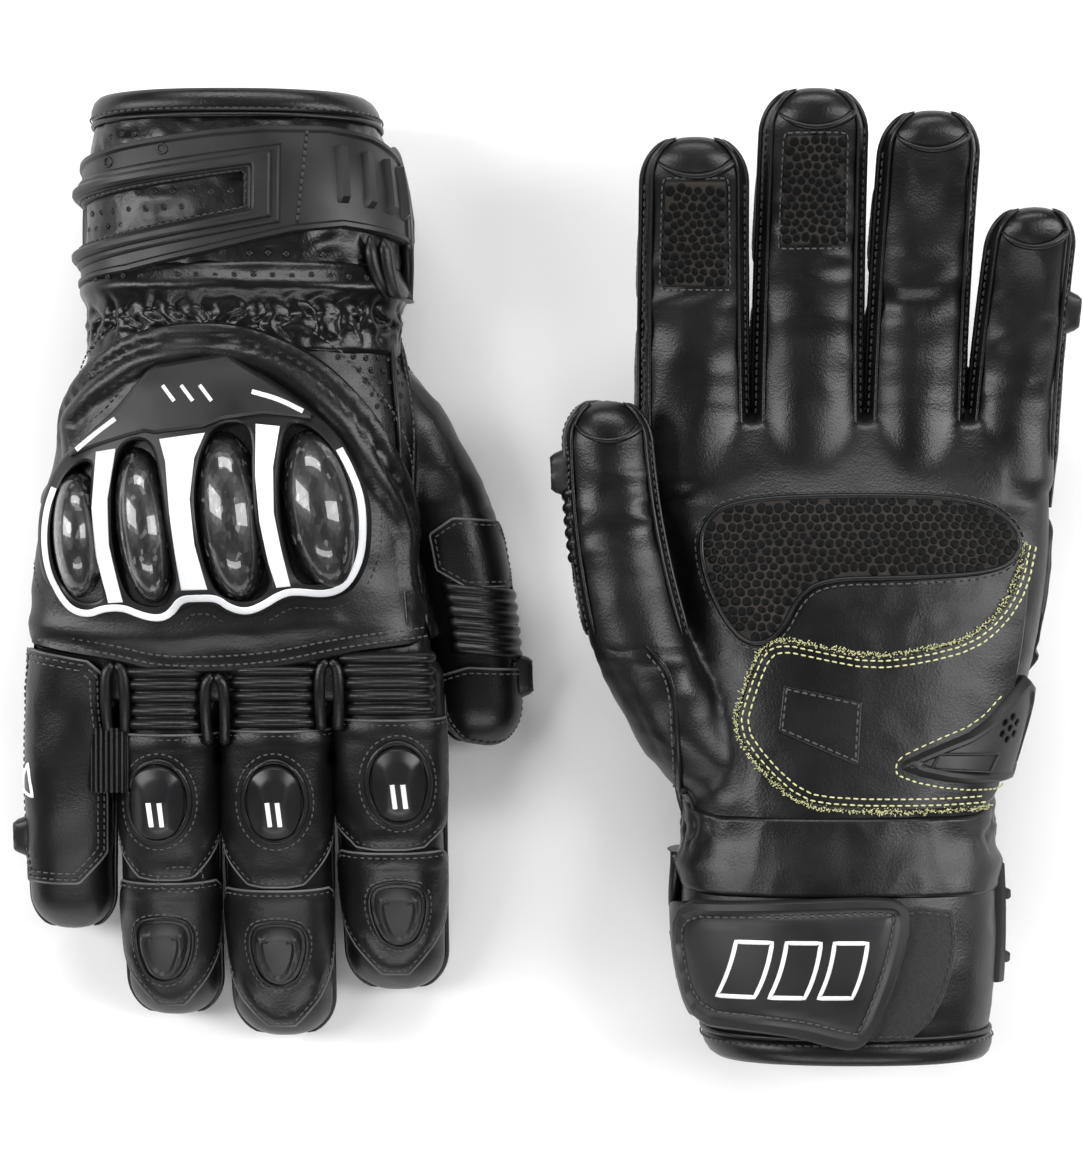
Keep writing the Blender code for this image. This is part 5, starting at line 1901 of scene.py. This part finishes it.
# ---------------------------------------------------------------- palm

GRIP_EDGE = ((-30.0, 84.0), (-22.0, 90.6), (10.0, 92.0), (44.0, 91.0), (55.0, 84.0), (56.0, 76.0),
             (48.0, 71.0), (24.0, 69.6), (2.0, 69.4), (-5.0, 64.0), (-8.6, 56.0), (-14.0, 51.6),
             (-20.0, 53.0), (-26.0, 62.0), (-30.0, 74.0))
ARAMID_EDGE = ((57.0, 79.0), (54.4, 68.0), (49.0, 59.6), (41.2, 53.4), (28.0, 50.0), (14.7, 48.5),
               (2.0, 51.0), (-8.8, 53.4), (-14.6, 51.0), (-19.0, 40.0), (-22.0, 29.0), (-15.0, 18.6),
               (-5.0, 9.4), (6.0, 7.6), (30.0, 7.4), (47.0, 8.0), (51.0, 14.0), (54.5, 40.0), (57.6, 60.0),
               (58.6, 74.0))
ARAMID_SEWN = 16
RHOMBUS = ((-8.8, 41.2), (12.3, 36.8), (11.2, 19.1), (-10.3, 28.4))
SLIDER_EDGE = ((20.0, 19.4), (30.0, 15.6), (44.0, 14.0), (54.0, 15.4), (57.0, 30.0), (58.6, 45.4),
               (51.6, 38.0), (43.6, 29.6), (31.0, 24.6))


def add_palm_grip():
    """The pebbled patch under the fingers, with its piping."""
    grip = curved(GRIP_EDGE, True, 1.2, 2)

    def piece(name, work, look):
        emit(name, work, look, "hand", ("palm_grip_patch",) if name.endswith("pebbles") else ())

    add_pebbles(grip, PALM, 2.6, "palm_grip", piece)
    emit("palm_grip_piping", rope(grip, 0.75, 0.75, True, 7).wrapped(PALM), "leather", "hand")
    row = stitches(inset(ring_of(grip), -1.6), *PATCH_ROW, 0.35, True)
    emit("palm_grip_stitching", row.wrapped(PALM), "thread_grey", "hand")


def add_aramid_panel(slider):
    """The palm's lower panel, sewn with yellow thread, as the slider beside it is."""
    aramid = ring_of(curved(ARAMID_EDGE, True, 1.2, 1))
    sewn = curved(ARAMID_EDGE[:ARAMID_SEWN], False, 1.0, 1)

    def top(points):
        return 0.85 + swells(points, 0.25, 1.0, 0.09, 81.0)

    panel = plate(aramid, top, (), 2.0, ((0.0, 0.7), (0.2, 0.25), (0.7, 0.0)), -0.6)
    emit("palm_panel", panel.wrapped(PALM), "leather", "hand")
    yellow = stitches(inset_line(sewn, 1.5), *ARAMID_ROW, 1.0)
    yellow.join(stitches(inset_line(sewn, 3.2), *ARAMID_ROW, 1.0))
    yellow.join(frayed(sewn))
    around = inset(slider, -1.5)
    on_palm = HAND.at(around[:, 0], around[:, 1])[:, 0] < 52.0
    beside = stitches(open_run(around, on_palm), *ARAMID_ROW, 0.9)
    emit("aramid_stitching", yellow.wrapped(PALM).join(beside.wrapped(HAND)), "yellow", "hand")


def add_palm_seams():
    """The small patch of the palm, the seam round the thumb's base and the zigzag at the wrist."""
    rhombus = ring_of(resampled(RHOMBUS, 1.1, True))
    patch = plate(rhombus, level(1.5), (), 2.2, ((0.0, 0.6), (0.2, 0.2), (0.6, 0.0)), 0.3)
    emit("palm_rhombus", patch.wrapped(PALM), "leather", "hand")
    rows = stitches(inset(rhombus, 1.2), *STRONG_ROW, 1.55, True)
    seam = curved(((-35.4, 6.0), (-37.0, 25.0), (-38.6, 44.0), (-46.0, 52.0)), False, 1.0, 2)
    emit("thumb_base_welt", rope(seam, 0.7, 0.35, taper=5.0).wrapped(PALM), "leather", "hand")
    rows.join(stitches(inset_line(seam, 1.4), *SEAM_ROW, 0.4))
    rows.join(zigzag(((-22.0, -1.0), (12.0, -3.5), (48.0, -2.0)), 4.2, 2.4))
    emit("palm_stitching", rows.wrapped(PALM), "thread_grey", "hand")


def open_run(loop, keep):
    """The part of a closed loop where keep holds, as one open line."""
    order = np.roll(np.arange(len(loop)), -int(np.argmin(keep)))
    return loop[order][keep[order]]


def zigzag(line, pitch, height):
    """A zigzag row of stitches."""
    path = curved(line, False, 0.5, 2)
    left = sideways(path, False)
    run = run_of(path)
    corners = []
    for k, s in enumerate(np.arange(0.0, run[-1], pitch / 2.0)):
        i = int(np.searchsorted(run, s))
        corners.append(path[i] + left[i] * height * (0.5 if k % 2 else -0.5))
    return stitches(corners, 1.1, 0.85, 0.45, 0.8)


# loose fibres at each point of the frayed edge
FIBRES = 7


def frayed(loop):
    """Loose aramid fibres along a cut edge: many short threads lying every way."""
    work = Work()
    for k in range(len(loop) * FIBRES):
        base = loop[k // FIBRES] + (random.uniform(-0.6, 0.6), random.uniform(-0.6, 0.6))
        turn = random.uniform(0.0, 2.0 * math.pi)
        reach = random.uniform(0.3, 0.9)
        tip = base + (reach * math.cos(turn), reach * math.sin(turn))
        low, high = random.uniform(0.1, 0.7), random.uniform(0.4, 1.4)
        side = np.array([-math.sin(turn), math.cos(turn)]) * 0.13
        work.add([(*(base - side), low), (*(base + side), low), (*(tip + side), high), (*(tip - side), high),
                  (*((base + tip) / 2.0), (low + high) / 2.0 + 0.18)],
                 [(0, 1, 4), (1, 2, 4), (2, 3, 4), (3, 0, 4), (3, 2, 1, 0)])
    return work


def add_palm_slider(ring):
    """The moulded slider on the heel of the hand, with seven small holes."""
    top = dished(ring, 1.2, 1.9, 1.5, 0.8, 2.5, 3.1)
    middle = HAND.arc(51.6, 29.5, True)
    holes = [oval((middle + 2.6 * a, 29.5 + 3.0 * b), 0.85, 0.85, 10)
             for a, b in ((0, 0), (0, 1), (0, -1), (-0.9, 0.5), (0.9, 0.5), (-0.9, -0.5), (0.9, -0.5))]
    guides = [inset(ring, d) for d in (0.8, 1.5, 2.5, 3.1)]
    body = plate(ring, top, holes, 1.6, ((0.0, 0.5), (0.12, 0.15), (0.3, 0.0)), 0.2, guides)
    emit("palm_slider_plate", body.wrapped(HAND), "rubber", "hand", ("palm_slider",), 45)
    # a near-black plate under the seven holes: painted shade in them
    floor = plate(inset(ring, 1.0), level(1.3), (), 4.0, ((0.0, 0.0),), 0.3)
    emit("palm_slider_hole_painted_shade", floor.wrapped(HAND), "dark", "hand")
    corners = HAND.seen(((30.0, 18.6), (46.0, 17.8), (48.0, 22.6), (32.0, 22.6)), True)
    mark = ribbon(ring_of(resampled(corners, 1.0, True)), 0.9, 0.5, level(2.3), True)
    emit("palm_slider_mark", mark.wrapped(HAND), "rubber_dark", "hand", (), 40)


def main():
    random.seed(7)
    skins = [add_hand_skin()]
    for digit in DIGITS:
        skins.append(add_digit_skin(digit))
        add_finger_seams(digit)
    add_guard()
    add_back_panel()
    add_back_perforations()
    add_side_seams()
    add_wrist()
    add_cuff_shell()
    add_cuff_guard()
    add_cuff_perforations()
    add_strap()
    add_strap_root()
    add_loop_patch()
    add_pull_loop()
    for digit in BACK_PANELS:
        add_back_panels(digit)
        add_knuckle_slider(digit)
        add_tip_slider(digit)
    add_accordions()
    add_fourchettes()
    add_webs()
    add_palm_roots(skins)
    add_finger_grips()
    add_pinky_panels()
    add_pleats()
    add_side_cap("pinky", 142.0, -8.5, 6.0, 1.0)
    add_side_cap("thumb", 98.0, -21.0, 6.4, -1.0)
    add_thumb_panels()
    add_palm_grip()
    slider = ring_of(curved(HAND.seen(SLIDER_EDGE, True), True, 1.0, 1))
    add_aramid_panel(slider)
    add_palm_seams()
    add_palm_slider(slider)


main()


# ---------------------------------------------------------------- studio


def add_floor():
    """A wide pale floor."""
    size = 1.6
    mesh = bpy.data.meshes.new("floor")
    corners = [(-size, -size, 0), (size, -size, 0), (size, size, 0), (-size, size, 0)]
    mesh.from_pydata(corners, [], [(0, 1, 2, 3)])
    material, _ = new_material("floor_paper", (0.9, 0.9, 0.9), 0.9)
    mesh.materials.append(material)
    floor = bpy.data.objects.new("floor", mesh)
    bpy.context.scene.collection.objects.link(floor)


def add_softbox(name, place, size, power):
    """A soft area light that faces the gloves."""
    lamp = bpy.data.lights.new(name, "AREA")
    lamp.shape = "RECTANGLE"
    lamp.size, lamp.size_y = size
    lamp.energy = power
    holder = bpy.data.objects.new(name, lamp)
    holder.location = place
    holder.rotation_euler = (Vector((0.0, 0.0, 0.02)) - Vector(place)).to_track_quat("-Z", "Y").to_euler()
    bpy.context.scene.collection.objects.link(holder)


def add_camera():
    """Straight above the pair, with a view as wide as both gloves and a margin."""
    camera = bpy.data.cameras.new("camera")
    camera.lens = 100.0
    camera.sensor_fit = "HORIZONTAL"
    camera.sensor_width = 36.0
    holder = bpy.data.objects.new("camera", camera)
    width = 0.3
    holder.location = (0.0, 0.0, 0.03 + width * camera.lens / camera.sensor_width)
    bpy.context.scene.collection.objects.link(holder)
    bpy.context.scene.camera = holder


def add_studio():
    """A dim white surround and four softboxes round the pair."""
    world = bpy.data.worlds.new("studio")
    world.use_nodes = True
    background = world.node_tree.nodes["Background"]
    background.inputs["Color"].default_value = (1.0, 1.0, 1.0, 1.0)
    background.inputs["Strength"].default_value = 0.1
    bpy.context.scene.world = world
    bpy.context.scene.view_settings.view_transform = "Standard"
    add_softbox("left_box", (-0.9, 0.1, 0.75), (0.34, 1.1), 12.0)
    add_softbox("right_box", (0.9, 0.1, 0.75), (0.34, 1.1), 12.0)
    add_softbox("top_box", (0.0, 0.95, 0.8), (1.1, 0.3), 11.0)
    add_softbox("near_box", (0.0, -0.95, 0.7), (1.1, 0.2), 5.5)


add_floor()
add_studio()
add_camera()
